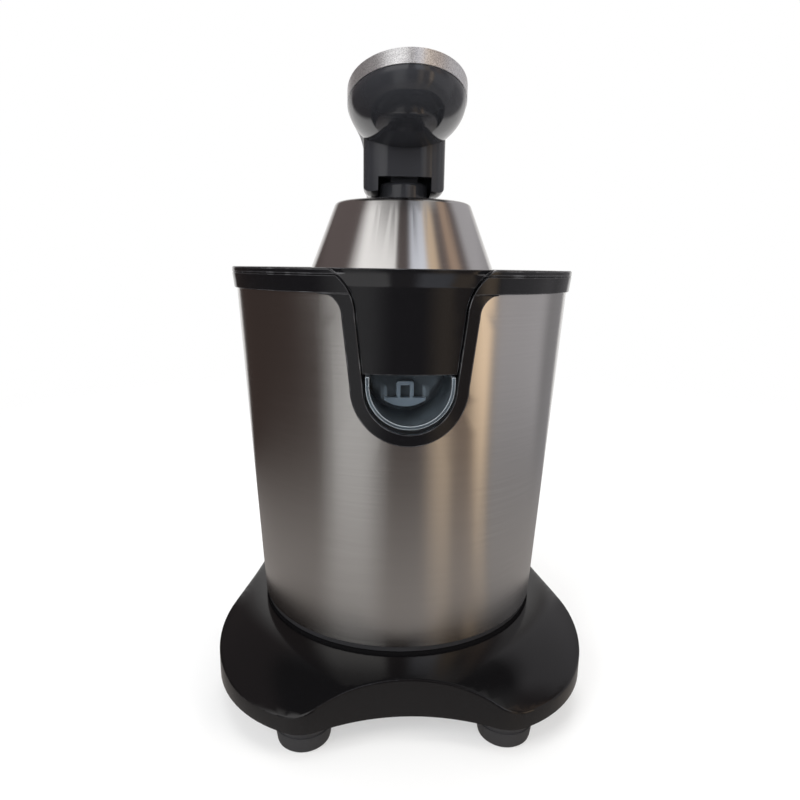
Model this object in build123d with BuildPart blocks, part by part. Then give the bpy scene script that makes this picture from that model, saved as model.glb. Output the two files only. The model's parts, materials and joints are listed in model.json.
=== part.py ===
from build123d import *

import os
from math import acos, atan2, cos, degrees, pi, radians, sin, sqrt, tan

# Electric citrus press with a lever arm. Millimetres, +Z up, spout towards -Y.
# The origin is on the table, on the upright axis of the body.

os.makedirs("parts", exist_ok=True)

# Driving dimensions of the body
rim_radius = 90.0           # top rim
rim_height = 219.0          # top rim above the table
rim_overhang = 2.2          # the rim stands out past the steel
lip_height = 3.0            # lip of the bowl, the top edge of the machine
collar_height = 7.5         # rim band under the lip
collar_draft = 0.9          # the rim band is this much narrower at its lower edge
shell_taper = 10.0          # the steel is this much smaller in radius at its foot
shell_wall = 0.8
shell_hem = 3.0             # steel turned in at the foot
gasket_height = 3.0
foot_height = 14.0
foot_top_radius = 14.4
foot_tip_radius = 12.4
base_rise = 22.0            # from the feet to the seat of the shell
base_wall = 3.0
base_opening = 17.5         # the round hole in the base is this much smaller than the shell
lobe_inset = 29.8           # lobes and feet lie this far inside the steel, left to right
lobe_ledge = 10.2           # and this far outside it, front to back
lobe_radius = 17.0
lobe_rise = 7.4             # far end of the lobes above the feet
front_flank_ledge = 18.0    # widest point of the base in front, past the steel
front_flank_inset = 35.8    # that point inside the steel, front to back
rear_flank_ledge = 5.5      # the same two at the rear, where the base is slimmer
rear_flank_inset = 47.8
end_ledge = 16.8            # hollow at the front and the rear, past the steel
side_ledge = 4.8            # hollow at each side, past the steel
base_ridge = 1.6            # rounding along the ridge of the base

# Pouring notch, bowl and spout
notch_radius = 26.2         # round bottom of the notch in the steel
notch_drop = 50.8           # its centre under the rim
notch_flare = 3.4           # the notch is this much wider on each side at its top
notch_corner = 9.5          # rounding where the notch meets the rim
notch_sweep = 22.0          # rounding of the inner edge of the bezel, out to the rim
bezel_width = 5.6
bezel_proud = 0.8           # the bezel stands out past the steel
bowl_depth = 45.0           # from the rim to the underside of the bowl
tower_height = 19.0         # spindle tower above the underside of the bowl
bowl_wall = 2.2
tray_wall = 1.8
deck_thickness = 3.0
deck_drop = 3.0             # from the bowl to the deck under it
bay_back = 33.0             # the spout bay starts this far in front of the axis
spout_wall = 1.6
spout_radius = 19.4
spout_top_gap = 0.5         # from the edge of the spout to the bowl above it
spout_height = 23.3
gate_width = 20.4
gate_thickness = 3.0
gate_height = 4.5
loop_width = 8.6
loop_height = 8.2
loop_wire = 2.0

# Drive
shaft_radius = 5.0
hex_across = 8.6
spindle_height = 41.5       # end of the spindle above the underside of the bowl
press_travel = 2.0          # the spindle goes down this far to start the motor
reamer_radius = 34.5
reamer_height = 38.0
flute_count = 8
motor_offset = 31.0         # motor axis behind the spindle
pinion_teeth = 14
wheel_teeth = 48
fast_module = 1.0
small_teeth = 14
large_teeth = 36
slow_module = 1.5
fast_face = 8.0
slow_face = 10.0
gearbox_floor = 108.0       # underside of the gearbox above the table
gearbox_wall = 2.5
plate = 3.0
stator_radius = 31.0
stator_height = 36.0
rotor_radius = 17.1
motor_shaft_radius = 3.0

# Lever and lid
lid_foot_radius = 51.9
lid_top_radius = 35.8
lid_height = 40.7
lid_sink = 7.0              # the edge of the lid lies this far under the rim
lid_wall = 0.8
hub_radius = 13.0
hub_height = 10.0
pin_radius = 2.5            # pivot of the lid
pin_lift = 16.3             # pivot above the top of the lid
hinge_radius = 12.0         # heel of the lever
hinge_pin_radius = 4.0
hinge_gap = 1.0             # heel of the lever above the rim
hinge_back = 2.0            # hinge behind the rim
heel_width = 33.6
cheek = 6.6                 # each ear of the hinge bracket
nose_reach = 70.0           # nose of the handle in front of the axis
handle_width = 57.6
bulb_reach = 48.5           # from the widest point of the handle to its nose
bulb_depth = 18.0           # egg-shaped bulb under the cover
bulb_tilt = 5.0
neck_width = 43.0
neck_corner = 14.0          # rounding of the front of the neck, seen from above
cover_thickness = 6.0

# Fasteners
screw_radius = 2.0
screw_bite = 10.0           # a screw goes this far into its boss
screw_head = 2.4

# Clearances
past = 1.0                  # a cut runs this far past what it cuts
fit = 0.05                  # a turning or sliding fit, in radius
seat = 0.05                 # a piece set in another of the same body
edge_gap = 0.15             # bezel in the steel
room = 0.6                  # between nested walls
swing = 0.5                 # between the lever and its bracket

# Heights and radii that follow
base_seat = foot_height + base_rise
shell_bottom = base_seat + gasket_height
lip_bottom = rim_height - lip_height
shell_top = lip_bottom - collar_height
shell_top_radius = rim_radius - rim_overhang
shell_foot_radius = shell_top_radius - shell_taper
lobe_x = shell_foot_radius - lobe_inset
lobe_y = shell_foot_radius + lobe_ledge
waist_y = shell_foot_radius + end_ledge
end_dip = waist_y - lobe_y
end_hollow = (lobe_x**2 + end_dip**2 - lobe_radius**2) / (2 * (lobe_radius - end_dip))
hollow_y = waist_y + end_hollow
notch_centre = rim_height - notch_drop
bowl_bottom = rim_height - bowl_depth
deck_top = bowl_bottom - deck_drop
deck_bottom = deck_top - deck_thickness
tower_top = bowl_bottom + tower_height
spindle_top = bowl_bottom + spindle_height


def shell_radius(z):
    """Outer radius of the steel at height z."""
    return shell_foot_radius + shell_taper * (z - shell_bottom) / (shell_top - shell_bottom)


def tray_radius(z):
    """Outer radius of the tray inside the steel."""
    return shell_radius(z) - shell_wall - room


def bowl_radius(z):
    """Outer radius of the bowl inside the tray."""
    return tray_radius(z) - tray_wall - room


def turned(*points):
    """A solid turned about the upright axis from (radius, height) points."""
    with BuildPart() as piece:
        with BuildSketch(Plane.XZ):
            with BuildLine():
                Polyline(*points, close=True)
            make_face()
        revolve(axis=Axis.Z)
    return piece.part


def rod(radius, bottom, top, x=0.0, y=0.0):
    """An upright round bar."""
    with BuildPart() as piece:
        with BuildSketch(Plane((x, y, bottom))):
            Circle(radius)
        extrude(amount=top - bottom)
    return piece.part


def tube(outer, inner, bottom, top, x=0.0, y=0.0):
    """An upright round sleeve."""
    with BuildPart() as piece:
        with BuildSketch(Plane((x, y, bottom))):
            Circle(outer)
            Circle(inner, mode=Mode.SUBTRACT)
        extrude(amount=top - bottom)
    return piece.part


def cross_rod(radius, half_length, y, z):
    """A round bar along X."""
    with BuildPart() as piece:
        with BuildSketch(Plane.YZ):
            with Locations((y, z)):
                Circle(radius)
        extrude(amount=half_length, both=True)
    return piece.part


def screw(x, y, seat_z, length, radius=screw_radius, head=screw_head, up=1):
    """A pan-head screw whose head rests on seat_z; the shank goes down, or up where up is -1."""
    with BuildPart() as piece:
        with BuildSketch(Plane((x, y, seat_z), z_dir=(0, 0, up))):
            Circle(2 * radius)
        extrude(amount=head)
        with BuildSketch(Plane((x, y, seat_z), z_dir=(0, 0, -up))):
            Circle(radius)
        extrude(amount=length)
        fillet(piece.faces().sort_by(Axis((x, y, 0), (0, 0, up)))[-1].edges(), head / 3)
    return piece.part


def notch_outline(inset, top, corner=0.0):
    """Front view of the pouring notch, inset inside the edge of the steel."""
    radius = notch_radius - inset
    side = radius + notch_flare
    shoulder = shell_top - notch_corner
    with BuildSketch() as outline:
        with BuildLine():
            ThreePointArc((-radius, notch_centre), (0, notch_centre - radius), (radius, notch_centre))
            Polyline(
                (radius, notch_centre), (side, shoulder), (side, top),
                (-side, top), (-side, shoulder), (-radius, notch_centre),
            )
        make_face()
        if corner:
            with Locations((0, top - (top - shoulder) / 2)):
                Rectangle(2 * (side + corner), top - shoulder)
            with Locations((side + corner, shoulder), (-side - corner, shoulder)):
                Circle(corner, mode=Mode.SUBTRACT)
    return outline.sketch_local


def notch_prism(inset, top, corner=0.0, start=bay_back, depth=2 * rim_radius):
    """The notch as a bar that runs towards the front from start."""
    with BuildPart() as prism:
        with BuildSketch(Plane.XZ.offset(start)):
            add(notch_outline(inset, top, corner))
        extrude(amount=depth)
    return prism.part


# Base: a dome trimmed by a four-lobed outline
def flank(ledge, inset):
    """Centre and radius of the arc that runs from a lobe to the widest point of the base."""
    widest = shell_foot_radius + ledge
    y = shell_foot_radius - inset
    across = widest - lobe_x
    along = lobe_y - y
    radius = (across**2 + along**2 - lobe_radius**2) / (2 * (across - lobe_radius))
    return Vector(widest - radius, y), radius


def side_arc(front, front_radius, rear, rear_radius):
    """Centre and radius of the hollow at each side, which touches both flanks side_ledge past the steel."""
    first = 1 / (front_flank_ledge - side_ledge)
    second = 1 / (rear_flank_ledge - side_ledge)
    square = first - second
    middle = second * rear.Y - first * front.Y
    rest = first * front.Y**2 - second * rear.Y**2 + front.X - front_radius - rear.X + rear_radius
    y = (-middle - sqrt(middle**2 - square * rest)) / square
    waist = shell_foot_radius + side_ledge
    radius = (first * (y - front.Y)**2 - front_radius - waist + front.X) / 2
    return Vector(waist + radius, y), radius


def base_outline(inset=0.0):
    """Four-lobed plan of tangent arcs: hollow, lobe and flank at each end, and a hollow at each side."""
    front, front_radius = flank(front_flank_ledge, front_flank_inset)
    front = Vector(front.X, -front.Y)
    rear, rear_radius = flank(rear_flank_ledge, rear_flank_inset)
    side, side_hollow = side_arc(front, front_radius, rear, rear_radius)
    front_lobe, rear_lobe = Vector(lobe_x, -lobe_y), Vector(lobe_x, lobe_y)
    arcs = (
        (Vector(0, -hollow_y), end_hollow, Vector(0, 1), front_lobe - Vector(0, -hollow_y)),
        (front_lobe, lobe_radius, Vector(0, -hollow_y) - front_lobe, front_lobe - front),
        (front, front_radius, front_lobe - front, side - front),
        (side, side_hollow, front - side, rear - side),
        (rear, rear_radius, side - rear, rear_lobe - rear),
        (rear_lobe, lobe_radius, rear_lobe - rear, Vector(0, hollow_y) - rear_lobe),
        (Vector(0, hollow_y), end_hollow, rear_lobe - Vector(0, hollow_y), Vector(0, -1)),
    )
    with BuildSketch() as outline:
        with BuildLine():
            for centre, radius, first, last in arcs:
                middle = first.normalized() + last.normalized()
                ThreePointArc(*(centre + way.normalized() * radius for way in (first, middle, last)))
            mirror(about=Plane.YZ)
        make_face()
        if inset:
            offset(amount=-inset)
    return outline.sketch_local


dome_flat = 2.0             # the dome is flat this far past the steel
dome_shoulder = 15.0
shoulder_drop = 2.0
dome_lead = 0.04            # fall of the dome where it leaves the flat
dome_slope = 0.7            # and at the lobes and past them


def base_dome(drop):
    """The crowned top of the base, drop under its outer face."""
    flat = shell_foot_radius + dome_flat
    shoulder = shell_foot_radius + dome_shoulder
    edge = sqrt(lobe_x**2 + lobe_y**2) + lobe_radius + past
    under = foot_height - past
    rim = foot_height + lobe_rise - drop
    skirt = edge + (rim - under) / dome_slope
    with BuildPart() as dome:
        with BuildSketch(Plane.XZ):
            with BuildLine():
                Line((0, under), (0, base_seat - drop))
                Line((0, base_seat - drop), (flat, base_seat - drop))
                Spline(
                    (flat, base_seat - drop),
                    (shoulder, base_seat - shoulder_drop - drop),
                    (edge, rim),
                    tangents=[(1, -dome_lead), (1, -dome_slope)],
                )
                Line((edge, rim), (skirt, under))
                Line((skirt, under), (0, under))
            make_face()
        revolve(axis=Axis.Z)
    return dome.part


cover_plate = 2.5
spigot_wall = 2.5
spigot_height = 4.0         # the spigot stands up inside the foot of the steel
rod_inset = 11.0            # tie rods inside the foot of the steel
rod_angles = (150, 230, 330)
rod_radius = 2.2
rod_circle = shell_foot_radius - rod_inset
rod_places = [(rod_circle * cos(radians(angle)), rod_circle * sin(radians(angle))) for angle in rod_angles]
boss_radius = 4.5
boss_spread = 54.0
boss_places = [(x, y) for x in (-boss_spread, boss_spread) for y in (-boss_spread, boss_spread)]
vent_count = 10
vent_circle = 26.0
vent_length = 24.0
vent_width = 4.0
inlet_lift = 10.0           # cord inlet above the feet
inlet_z = foot_height + inlet_lift
inlet_radius = 6.0
inlet_bore = 3.8
inlet_flange = 2.5          # its width and its thickness
inlet_gap = 0.5             # its flange clears the hollow at the rear
inlet_seat = waist_y + inlet_gap
foot_edge = 2.0             # rounding of the sole of a foot

with BuildPart() as base_hollow:
    with BuildSketch(Plane.XY.offset(foot_height)):
        add(base_outline(base_wall))
    extrude(amount=base_rise)
    add(base_dome(base_wall), mode=Mode.INTERSECT)

with BuildPart() as base_shell:
    with BuildSketch(Plane.XY.offset(foot_height)):
        add(base_outline())
    extrude(amount=base_rise)
    add(base_dome(0.0), mode=Mode.INTERSECT)
    ridge = base_shell.edges().filter_by_position(Axis.Z, foot_height + past, base_seat - past)
    fillet(ridge.filter_by(GeomType.LINE, reverse=True), base_ridge)
    add(base_hollow.part, mode=Mode.SUBTRACT)
    add(rod(shell_foot_radius - base_opening, foot_height, base_seat + past), mode=Mode.SUBTRACT)
    spigot_radius = shell_foot_radius - shell_hem - room
    add(tube(spigot_radius, spigot_radius - spigot_wall, base_seat - past, shell_bottom + spigot_height))
    for x, y in boss_places:
        boss_top = base_seat - base_wall / 2
        add(tube(boss_radius, screw_radius + seat, foot_height + cover_plate, boss_top, x, y))
    with BuildSketch(Plane.XY.offset(base_seat - 2 * base_wall)):
        with Locations(*rod_places):
            Circle(rod_radius + fit)
    extrude(amount=3 * base_wall, mode=Mode.SUBTRACT)
    with BuildSketch(Plane.XZ.offset(-waist_y + 2 * base_wall)):
        with Locations((0, inlet_z)):
            Circle(inlet_radius)
    extrude(amount=-4 * base_wall, mode=Mode.SUBTRACT)

with BuildPart() as base_cover:
    with BuildSketch(Plane.XY.offset(foot_height)):
        add(base_outline(base_wall + seat))
        with Locations(*boss_places):
            Circle(screw_radius + seat, mode=Mode.SUBTRACT)
        with PolarLocations(vent_circle, vent_count):
            SlotOverall(vent_length, vent_width, mode=Mode.SUBTRACT)
    extrude(amount=cover_plate)

with BuildPart() as cover_screws:
    for x, y in boss_places:
        add(screw(x, y, foot_height, cover_plate + screw_bite, up=-1))

with BuildPart() as rubber_foot:
    with BuildSketch(Plane.XZ):
        with BuildLine():
            Polyline(
                (0, 0), (foot_tip_radius, 0), (foot_top_radius, foot_height), (0, foot_height), close=True,
            )
        foot_face = make_face()
        fillet(foot_face.vertices().group_by(Axis.Y)[0].sort_by(Axis.X)[-1], foot_edge)
    revolve(axis=Axis.Z)

with BuildPart() as rubber_feet:
    with GridLocations(2 * lobe_x, 2 * lobe_y, 2, 2):
        add(rubber_foot.part)

with BuildPart() as cord_inlet:
    with BuildSketch(Plane.XZ.offset(-inlet_seat)):
        with Locations((0, inlet_z)):
            Circle(inlet_radius + inlet_flange)
    extrude(amount=-inlet_flange)
    with BuildSketch(Plane.XZ.offset(-inlet_seat)):
        with Locations((0, inlet_z)):
            Circle(inlet_radius - seat)
    extrude(amount=2 * base_wall)
    with BuildSketch(Plane.XZ.offset(-inlet_seat - 2 * inlet_flange)):
        with Locations((0, inlet_z)):
            Circle(inlet_bore)
    extrude(amount=6 * base_wall, mode=Mode.SUBTRACT)

# Steel shell and the ring it stands on
bracket_screw_pitch = 24.0
bracket_screw_z = (notch_centre, notch_centre + bracket_screw_pitch)
bracket_screw_radius = 2.0
gasket_inset = 0.8          # gasket inside the foot of the steel

with BuildPart() as bracket_holes:
    with BuildSketch(Plane.XZ.offset(-rim_radius / 2)):
        for z in bracket_screw_z:
            with Locations((0, z)):
                Circle(bracket_screw_radius + seat)
    extrude(amount=-rim_radius)

with BuildPart() as shell_gasket:
    add(tube(shell_foot_radius - gasket_inset, shell_foot_radius - shell_hem, base_seat, shell_bottom))

with BuildPart() as steel_shell:
    add(turned(
        (shell_foot_radius - shell_hem, shell_bottom),
        (shell_foot_radius, shell_bottom),
        (shell_top_radius, shell_top),
        (shell_top_radius - shell_wall, shell_top),
        (shell_radius(shell_bottom + shell_wall) - shell_wall, shell_bottom + shell_wall),
        (shell_foot_radius - shell_hem, shell_bottom + shell_wall),
    ))
    add(notch_prism(-edge_gap, shell_top, notch_corner), mode=Mode.SUBTRACT)
    add(bracket_holes.part, mode=Mode.SUBTRACT)

# Rim band with the bezel of the notch
bezel_back = 0.2            # the bezel lies this far outside the tray
bezel_bottom = notch_centre - notch_radius - past
with BuildPart() as top_collar:
    add(turned(
        (tray_radius(bezel_bottom) + bezel_back, bezel_bottom),
        (shell_radius(bezel_bottom) + bezel_proud, bezel_bottom),
        (shell_radius(shell_top) + bezel_proud, shell_top),
        (tray_radius(shell_top) + bezel_back, shell_top),
    ))
    add(notch_prism(0.0, shell_top, notch_corner), mode=Mode.INTERSECT)
    add(turned(
        (bowl_radius(shell_top) + 2 * room, shell_top),
        (rim_radius - collar_draft, shell_top),
        (rim_radius, lip_bottom),
        (bowl_radius(shell_top) + 2 * room, lip_bottom),
    ))
    add(notch_prism(bezel_width, rim_height + past, notch_sweep), mode=Mode.SUBTRACT)

# Tray under the bowl: deck, wall, spout bay and spindle tower
tray_top = max(bracket_screw_z) + 4 * bracket_screw_radius
tower_radius = 10.5
bush_radius = 7.5
tray_screw_places = ((-24, 8), (26, -12), (30, 36))
with BuildPart() as bay_block:
    add(turned(
        (0, bezel_bottom), (tray_radius(bezel_bottom), bezel_bottom),
        (tray_radius(deck_top), deck_top), (0, deck_top),
    ))
    add(notch_prism(bezel_width - tray_wall, shell_top), mode=Mode.INTERSECT)

with BuildPart() as bowl_tray:
    add(turned(
        (0, deck_bottom),
        (tray_radius(deck_bottom), deck_bottom),
        (tray_radius(tray_top), tray_top),
        (tray_radius(tray_top) - tray_wall, tray_top),
        (tray_radius(deck_top) - tray_wall, deck_top),
        (0, deck_top),
    ))
    add(bay_block.part)
    add(rod(tower_radius, deck_bottom, tower_top))
    for x, y in rod_places:
        boss_bottom = deck_bottom - screw_bite
        add(rod(2 * rod_radius + past, boss_bottom, deck_bottom, x, y))
        add(rod(rod_radius + fit, boss_bottom - past, deck_bottom - past, x, y), mode=Mode.SUBTRACT)
    add(notch_prism(bezel_width, rim_height, start=bay_back + tray_wall), mode=Mode.SUBTRACT)
    add(rod(bush_radius + seat, deck_bottom - past, tower_top + past), mode=Mode.SUBTRACT)
    add(bracket_holes.part, mode=Mode.SUBTRACT)
    for x, y in tray_screw_places:
        add(rod(screw_radius + seat, deck_bottom - past, deck_top + past, x, y), mode=Mode.SUBTRACT)

with BuildPart() as tie_rods:
    for x, y in rod_places:
        length = deck_bottom - 2 * past - base_seat + base_wall
        add(screw(x, y, base_seat - base_wall, length, rod_radius, up=-1))

with BuildPart() as tray_screws:
    for x, y in tray_screw_places:
        add(screw(x, y, deck_top, deck_thickness + screw_bite - past, head=deck_drop - 2 * seat - room))

# Juice bowl: its lip is the top edge, its apron fills the notch
tube_gap = 0.7              # from the spindle tower to the tube of the bowl round it
tube_height = 29.0
bowl_floor = 2.4
strainer_lift = 15.0        # strainer above the underside of the bowl
tube_inner = tower_radius + tube_gap
tube_outer = tube_inner + bowl_wall
tube_top = bowl_bottom + tube_height
floor_top = bowl_bottom + bowl_floor
strainer_bottom = bowl_bottom + strainer_lift
strainer_cone = 17.4        # sloping band of the strainer, in radius
strainer_edge = bowl_radius(strainer_bottom) - bowl_wall - 2 * room
strainer_flat = strainer_edge - strainer_cone
strainer_rise = 15.0
strainer_wall = 1.8
ledge_width = 4.4           # ledge inside the bowl that carries the edge of the strainer
ledge_height = 6.0
ledge_top = strainer_bottom + strainer_rise - strainer_wall
ledge_bottom = ledge_top - ledge_height
apron_gap = 0.5
apron_recess = 2.0
apron_drop = 7.5            # front edge of the apron under the rim
apron_rounding = 2.5
lip_chamfer = 0.5
outlet_setback = 6.0        # outlet of the bowl in front of the back of the spout
outlet_length = 8.0
apron_edge = rim_height - apron_drop


def apron_radius(z):
    """Front face of the apron, a little behind the face of the bezel."""
    return shell_radius(z) + bezel_proud - apron_recess


with BuildPart() as bowl_apron:
    with BuildSketch(Plane.XZ):
        with BuildLine():
            Polyline(
                (bowl_radius(bowl_bottom) - bowl_wall / 2, bowl_bottom),
                (apron_radius(bowl_bottom), bowl_bottom),
                (apron_radius(apron_edge), apron_edge),
                (bowl_radius(rim_height) - bowl_wall / 2, rim_height),
                close=True,
            )
        apron_face = make_face()
        fillet(apron_face.vertices().sort_by(Axis.X)[-1], apron_rounding)
    revolve(axis=Axis.Z)
    add(notch_prism(bezel_width + apron_gap, rim_height, notch_sweep + apron_gap), mode=Mode.INTERSECT)

with BuildPart() as bowl_lip:
    add(turned(
        (bowl_radius(lip_bottom) - bowl_wall / 2, lip_bottom), (rim_radius, lip_bottom),
        (rim_radius, rim_height), (bowl_radius(rim_height) - bowl_wall / 2, rim_height),
    ))
    chamfer(bowl_lip.edges().filter_by(GeomType.CIRCLE).sort_by(SortBy.RADIUS)[-2:], lip_chamfer)
    add(notch_prism(bezel_width + apron_gap, rim_height + past, notch_sweep + apron_gap), mode=Mode.SUBTRACT)

with BuildPart() as juice_bowl:
    add(turned(
        (tube_inner, bowl_bottom),
        (bowl_radius(bowl_bottom), bowl_bottom),
        (bowl_radius(rim_height), rim_height),
        (bowl_radius(rim_height) - bowl_wall, rim_height),
        (bowl_radius(ledge_top) - bowl_wall, ledge_top),
        (bowl_radius(ledge_top) - bowl_wall - ledge_width, ledge_top),
        (bowl_radius(ledge_bottom) - bowl_wall, ledge_bottom),
        (bowl_radius(floor_top) - bowl_wall, floor_top),
        (tube_outer, floor_top),
        (tube_outer, tube_top),
        (tube_inner, tube_top),
    ))
    add(bowl_lip.part)
    add(bowl_apron.part)
    with BuildSketch(Plane.XY.offset(bowl_bottom - past)):
        with Locations((0, -bay_back - tray_wall - spout_wall - outlet_setback)):
            Rectangle(gate_width, outlet_length)
    extrude(amount=deck_thickness + 2 * past, mode=Mode.SUBTRACT)

# Strainer on its ledge
strainer_hole = tube_outer + room
slot_count = 30
slot_width = 2.2
slot_margin = 14.0          # the slots are this much shorter than the flat band
slot_shift = 1.0            # and lie this far out of its middle
strainer_brim = 4.0         # level brim underneath
brim_slope = 1.0            # the brim is this much wider on top
strainer_knee = 0.8         # inner corner of the slope
strainer_collar = 6.0       # upright collar round the tube
with BuildPart() as pulp_strainer:
    add(turned(
        (strainer_hole, strainer_bottom),
        (strainer_flat, strainer_bottom),
        (strainer_edge - strainer_brim, strainer_bottom + strainer_rise - strainer_wall),
        (strainer_edge, strainer_bottom + strainer_rise - strainer_wall),
        (strainer_edge, strainer_bottom + strainer_rise),
        (strainer_edge - strainer_brim - brim_slope, strainer_bottom + strainer_rise),
        (strainer_flat - strainer_knee, strainer_bottom + strainer_wall),
        (strainer_hole + strainer_wall, strainer_bottom + strainer_wall),
        (strainer_hole + strainer_wall, strainer_bottom + strainer_collar),
        (strainer_hole, strainer_bottom + strainer_collar),
    ))
    with BuildSketch(Plane.XY.offset(strainer_bottom - past)):
        with PolarLocations((strainer_flat + strainer_hole) / 2 + slot_shift, slot_count):
            Rectangle(strainer_flat - strainer_hole - slot_margin, slot_width)
    extrude(amount=strainer_wall + 2 * past, mode=Mode.SUBTRACT)

# Clear spout and the gate in it
spout_edge = bowl_bottom - spout_top_gap
spout_centre = spout_edge - spout_height + spout_radius
spout_play = 0.3            # behind the spout in its bay
gate_setback = 9.0          # gate in front of the back of the spout
loop_root = 0.2             # the finger loop is let this far into the gate
loop_corner = 1.6
spout_back = bay_back + tray_wall + spout_play
spout_lip = shell_radius(notch_centre) + bezel_proud
gate_y = spout_back + spout_wall + gate_setback
gate_gap = 0.3              # round the gate in its guides
guide_wall = 1.6
guide_overlap = 1.5         # the posts reach this far over the edges of the gate
guide_height = 12.0


def trough_face(radius):
    """Half-round section of the spout, open at its top edge."""
    with BuildSketch() as section:
        with BuildLine():
            ThreePointArc((-radius, spout_centre), (0, spout_centre - radius), (radius, spout_centre))
            Polyline(
                (radius, spout_centre), (radius, spout_edge), (-radius, spout_edge), (-radius, spout_centre),
            )
        make_face()
    return section.sketch_local


guide_depth = gate_thickness / 2 + gate_gap + guide_wall
guide_inner = gate_width / 2 - guide_overlap
guide_outer = gate_width / 2 + gate_gap + guide_wall
with BuildPart() as guide_posts:
    with BuildSketch(Plane.XZ.offset(gate_y - guide_depth)):
        add(trough_face(spout_radius - spout_wall / 2))
        with Locations((0, spout_edge - spout_height)):
            Rectangle(2 * guide_outer, 2 * guide_height, mode=Mode.INTERSECT)
            Rectangle(2 * guide_inner, 2 * guide_height, mode=Mode.SUBTRACT)
    extrude(amount=2 * guide_depth)
    with BuildSketch(Plane.XZ.offset(gate_y - gate_thickness / 2 - gate_gap)):
        add(trough_face(spout_radius - spout_wall))
        with Locations((0, spout_edge - spout_height)):
            Rectangle(gate_width + 2 * gate_gap, 3 * guide_height, mode=Mode.INTERSECT)
    extrude(amount=gate_thickness + 2 * gate_gap, mode=Mode.SUBTRACT)

with BuildPart() as clear_spout:
    with BuildSketch(Plane.XZ.offset(spout_back)):
        add(trough_face(spout_radius))
    extrude(amount=spout_lip - spout_back)
    with BuildSketch(Plane.XZ.offset(spout_back + spout_wall)):
        add(trough_face(spout_radius - spout_wall))
    extrude(amount=spout_lip, mode=Mode.SUBTRACT)
    add(guide_posts.part)

gate_top = spout_centre - spout_radius + spout_wall + gate_gap + gate_height
with BuildPart() as drip_gate:
    with BuildSketch(Plane.XZ.offset(gate_y - gate_thickness / 2)):
        add(trough_face(spout_radius - spout_wall - gate_gap))
        with Locations((0, gate_top)):
            Rectangle(gate_width, 2 * (gate_height + past), mode=Mode.INTERSECT)
        with Locations((0, gate_top + spout_radius)):
            Rectangle(3 * spout_radius, 2 * spout_radius, mode=Mode.SUBTRACT)
        with Locations((0, gate_top + (loop_height - loop_root) / 2)):
            RectangleRounded(loop_width, loop_height + loop_root, loop_corner)
        with Locations((0, gate_top + (loop_height - loop_wire) / 2)):
            Rectangle(loop_width - 2 * loop_wire, loop_height - loop_wire, mode=Mode.SUBTRACT)
    extrude(amount=gate_thickness)

# Reamer: a fluted dome lofted through rounded stars
reamer_lift = 24.0          # reamer above the underside of the bowl
brim_height = 4.0
hub = 9.0
crown_step = 0.5            # top of the brim past the ridges
hollow_foot = 8.0           # hollow of the reamer inside its ridges, at its mouth
hollow_knee = 9.0           # and at its knee
knee_share = 0.3            # knee and top of the hollow, in heights of the crown
top_share = 0.5
hub_flare = 3.0
spindle_gap = 0.5           # over the end of the spindle
reamer_bottom = bowl_bottom + reamer_lift
crown_bottom = reamer_bottom + brim_height
reamer_brim = 2.5
stations = ((0.0, 1.0, 5.0), (0.33, 0.91, 5.0), (0.66, 0.67, 4.0), (0.88, 0.37, 2.2), (1.0, 0.12, 0.5))


def flute_star(ridge, depth):
    """Closed star of hollow arcs between the ridges."""
    step = 2 * pi / flute_count
    with BuildSketch() as star:
        with BuildLine():
            for i in range(flute_count):
                a, b, c = i * step, (i + 0.5) * step, (i + 1) * step
                ThreePointArc(
                    (ridge * cos(a), ridge * sin(a)),
                    ((ridge - depth) * cos(b), (ridge - depth) * sin(b)),
                    (ridge * cos(c), ridge * sin(c)),
                )
        make_face()
    return star.sketch_local


with BuildPart() as reamer:
    for rise, share, depth in stations:
        with BuildSketch(Plane.XY.offset(crown_bottom + rise * reamer_height)):
            add(flute_star(share * reamer_radius, depth))
    loft()
    add(turned(
        (hub, reamer_bottom),
        (reamer_radius + reamer_brim, reamer_bottom),
        (reamer_radius + reamer_brim, reamer_bottom + reamer_brim),
        (reamer_radius + crown_step, crown_bottom),
        (hub, crown_bottom),
    ))
    add(rod(hub, reamer_bottom, crown_bottom))
    add(turned(
        (hub, reamer_bottom - past),
        (reamer_radius - hollow_foot, reamer_bottom - past),
        (reamer_radius - hollow_knee, crown_bottom + knee_share * reamer_height),
        (hub + hub_flare, crown_bottom + top_share * reamer_height),
        (hub, crown_bottom + top_share * reamer_height),
    ), mode=Mode.SUBTRACT)
    with BuildSketch(Plane.XY.offset(reamer_bottom - past)):
        RegularPolygon((hex_across / 2 + seat) / cos(pi / 6), 6)
    extrude(amount=spindle_top + spindle_gap - reamer_bottom + past, mode=Mode.SUBTRACT)

# Spindle and its bearings
press_gap = 0.4             # left under the thrust cup when it is pressed
cup_base = 2.0              # floor of the thrust cup
cup_height = 8.3
cup_wall = 1.5
flange_width = 4.5
flange_height = 2.0
stub_radius = 3.0
stub_reach = 2.8            # stub of the cup under the gearbox
gear_lift = 2.3             # slow gears above the cup
gear_headroom = 4.0
shaft_end_gap = 0.2
shaft_shoulder = 1.6        # round part of the spindle above its tower
bush_step = 1.5             # the gearbox bush reaches this far in
bush_lift = 8.0             # the tower bush starts above the foot of the deck
bush_recess = 1.0
seal_inset = 1.0
seal_height = 1.5
cup_bottom = gearbox_floor + plate + press_travel + press_gap
cup_floor = cup_bottom + cup_base
cup_top = cup_bottom + cup_height
cup_radius = shaft_radius + cup_wall
flange_radius = shaft_radius + flange_width
stub_bottom = gearbox_floor - stub_reach
slow_bottom = cup_top + gear_lift
slow_top = slow_bottom + slow_face
gearbox_top = slow_top + gear_headroom

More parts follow.
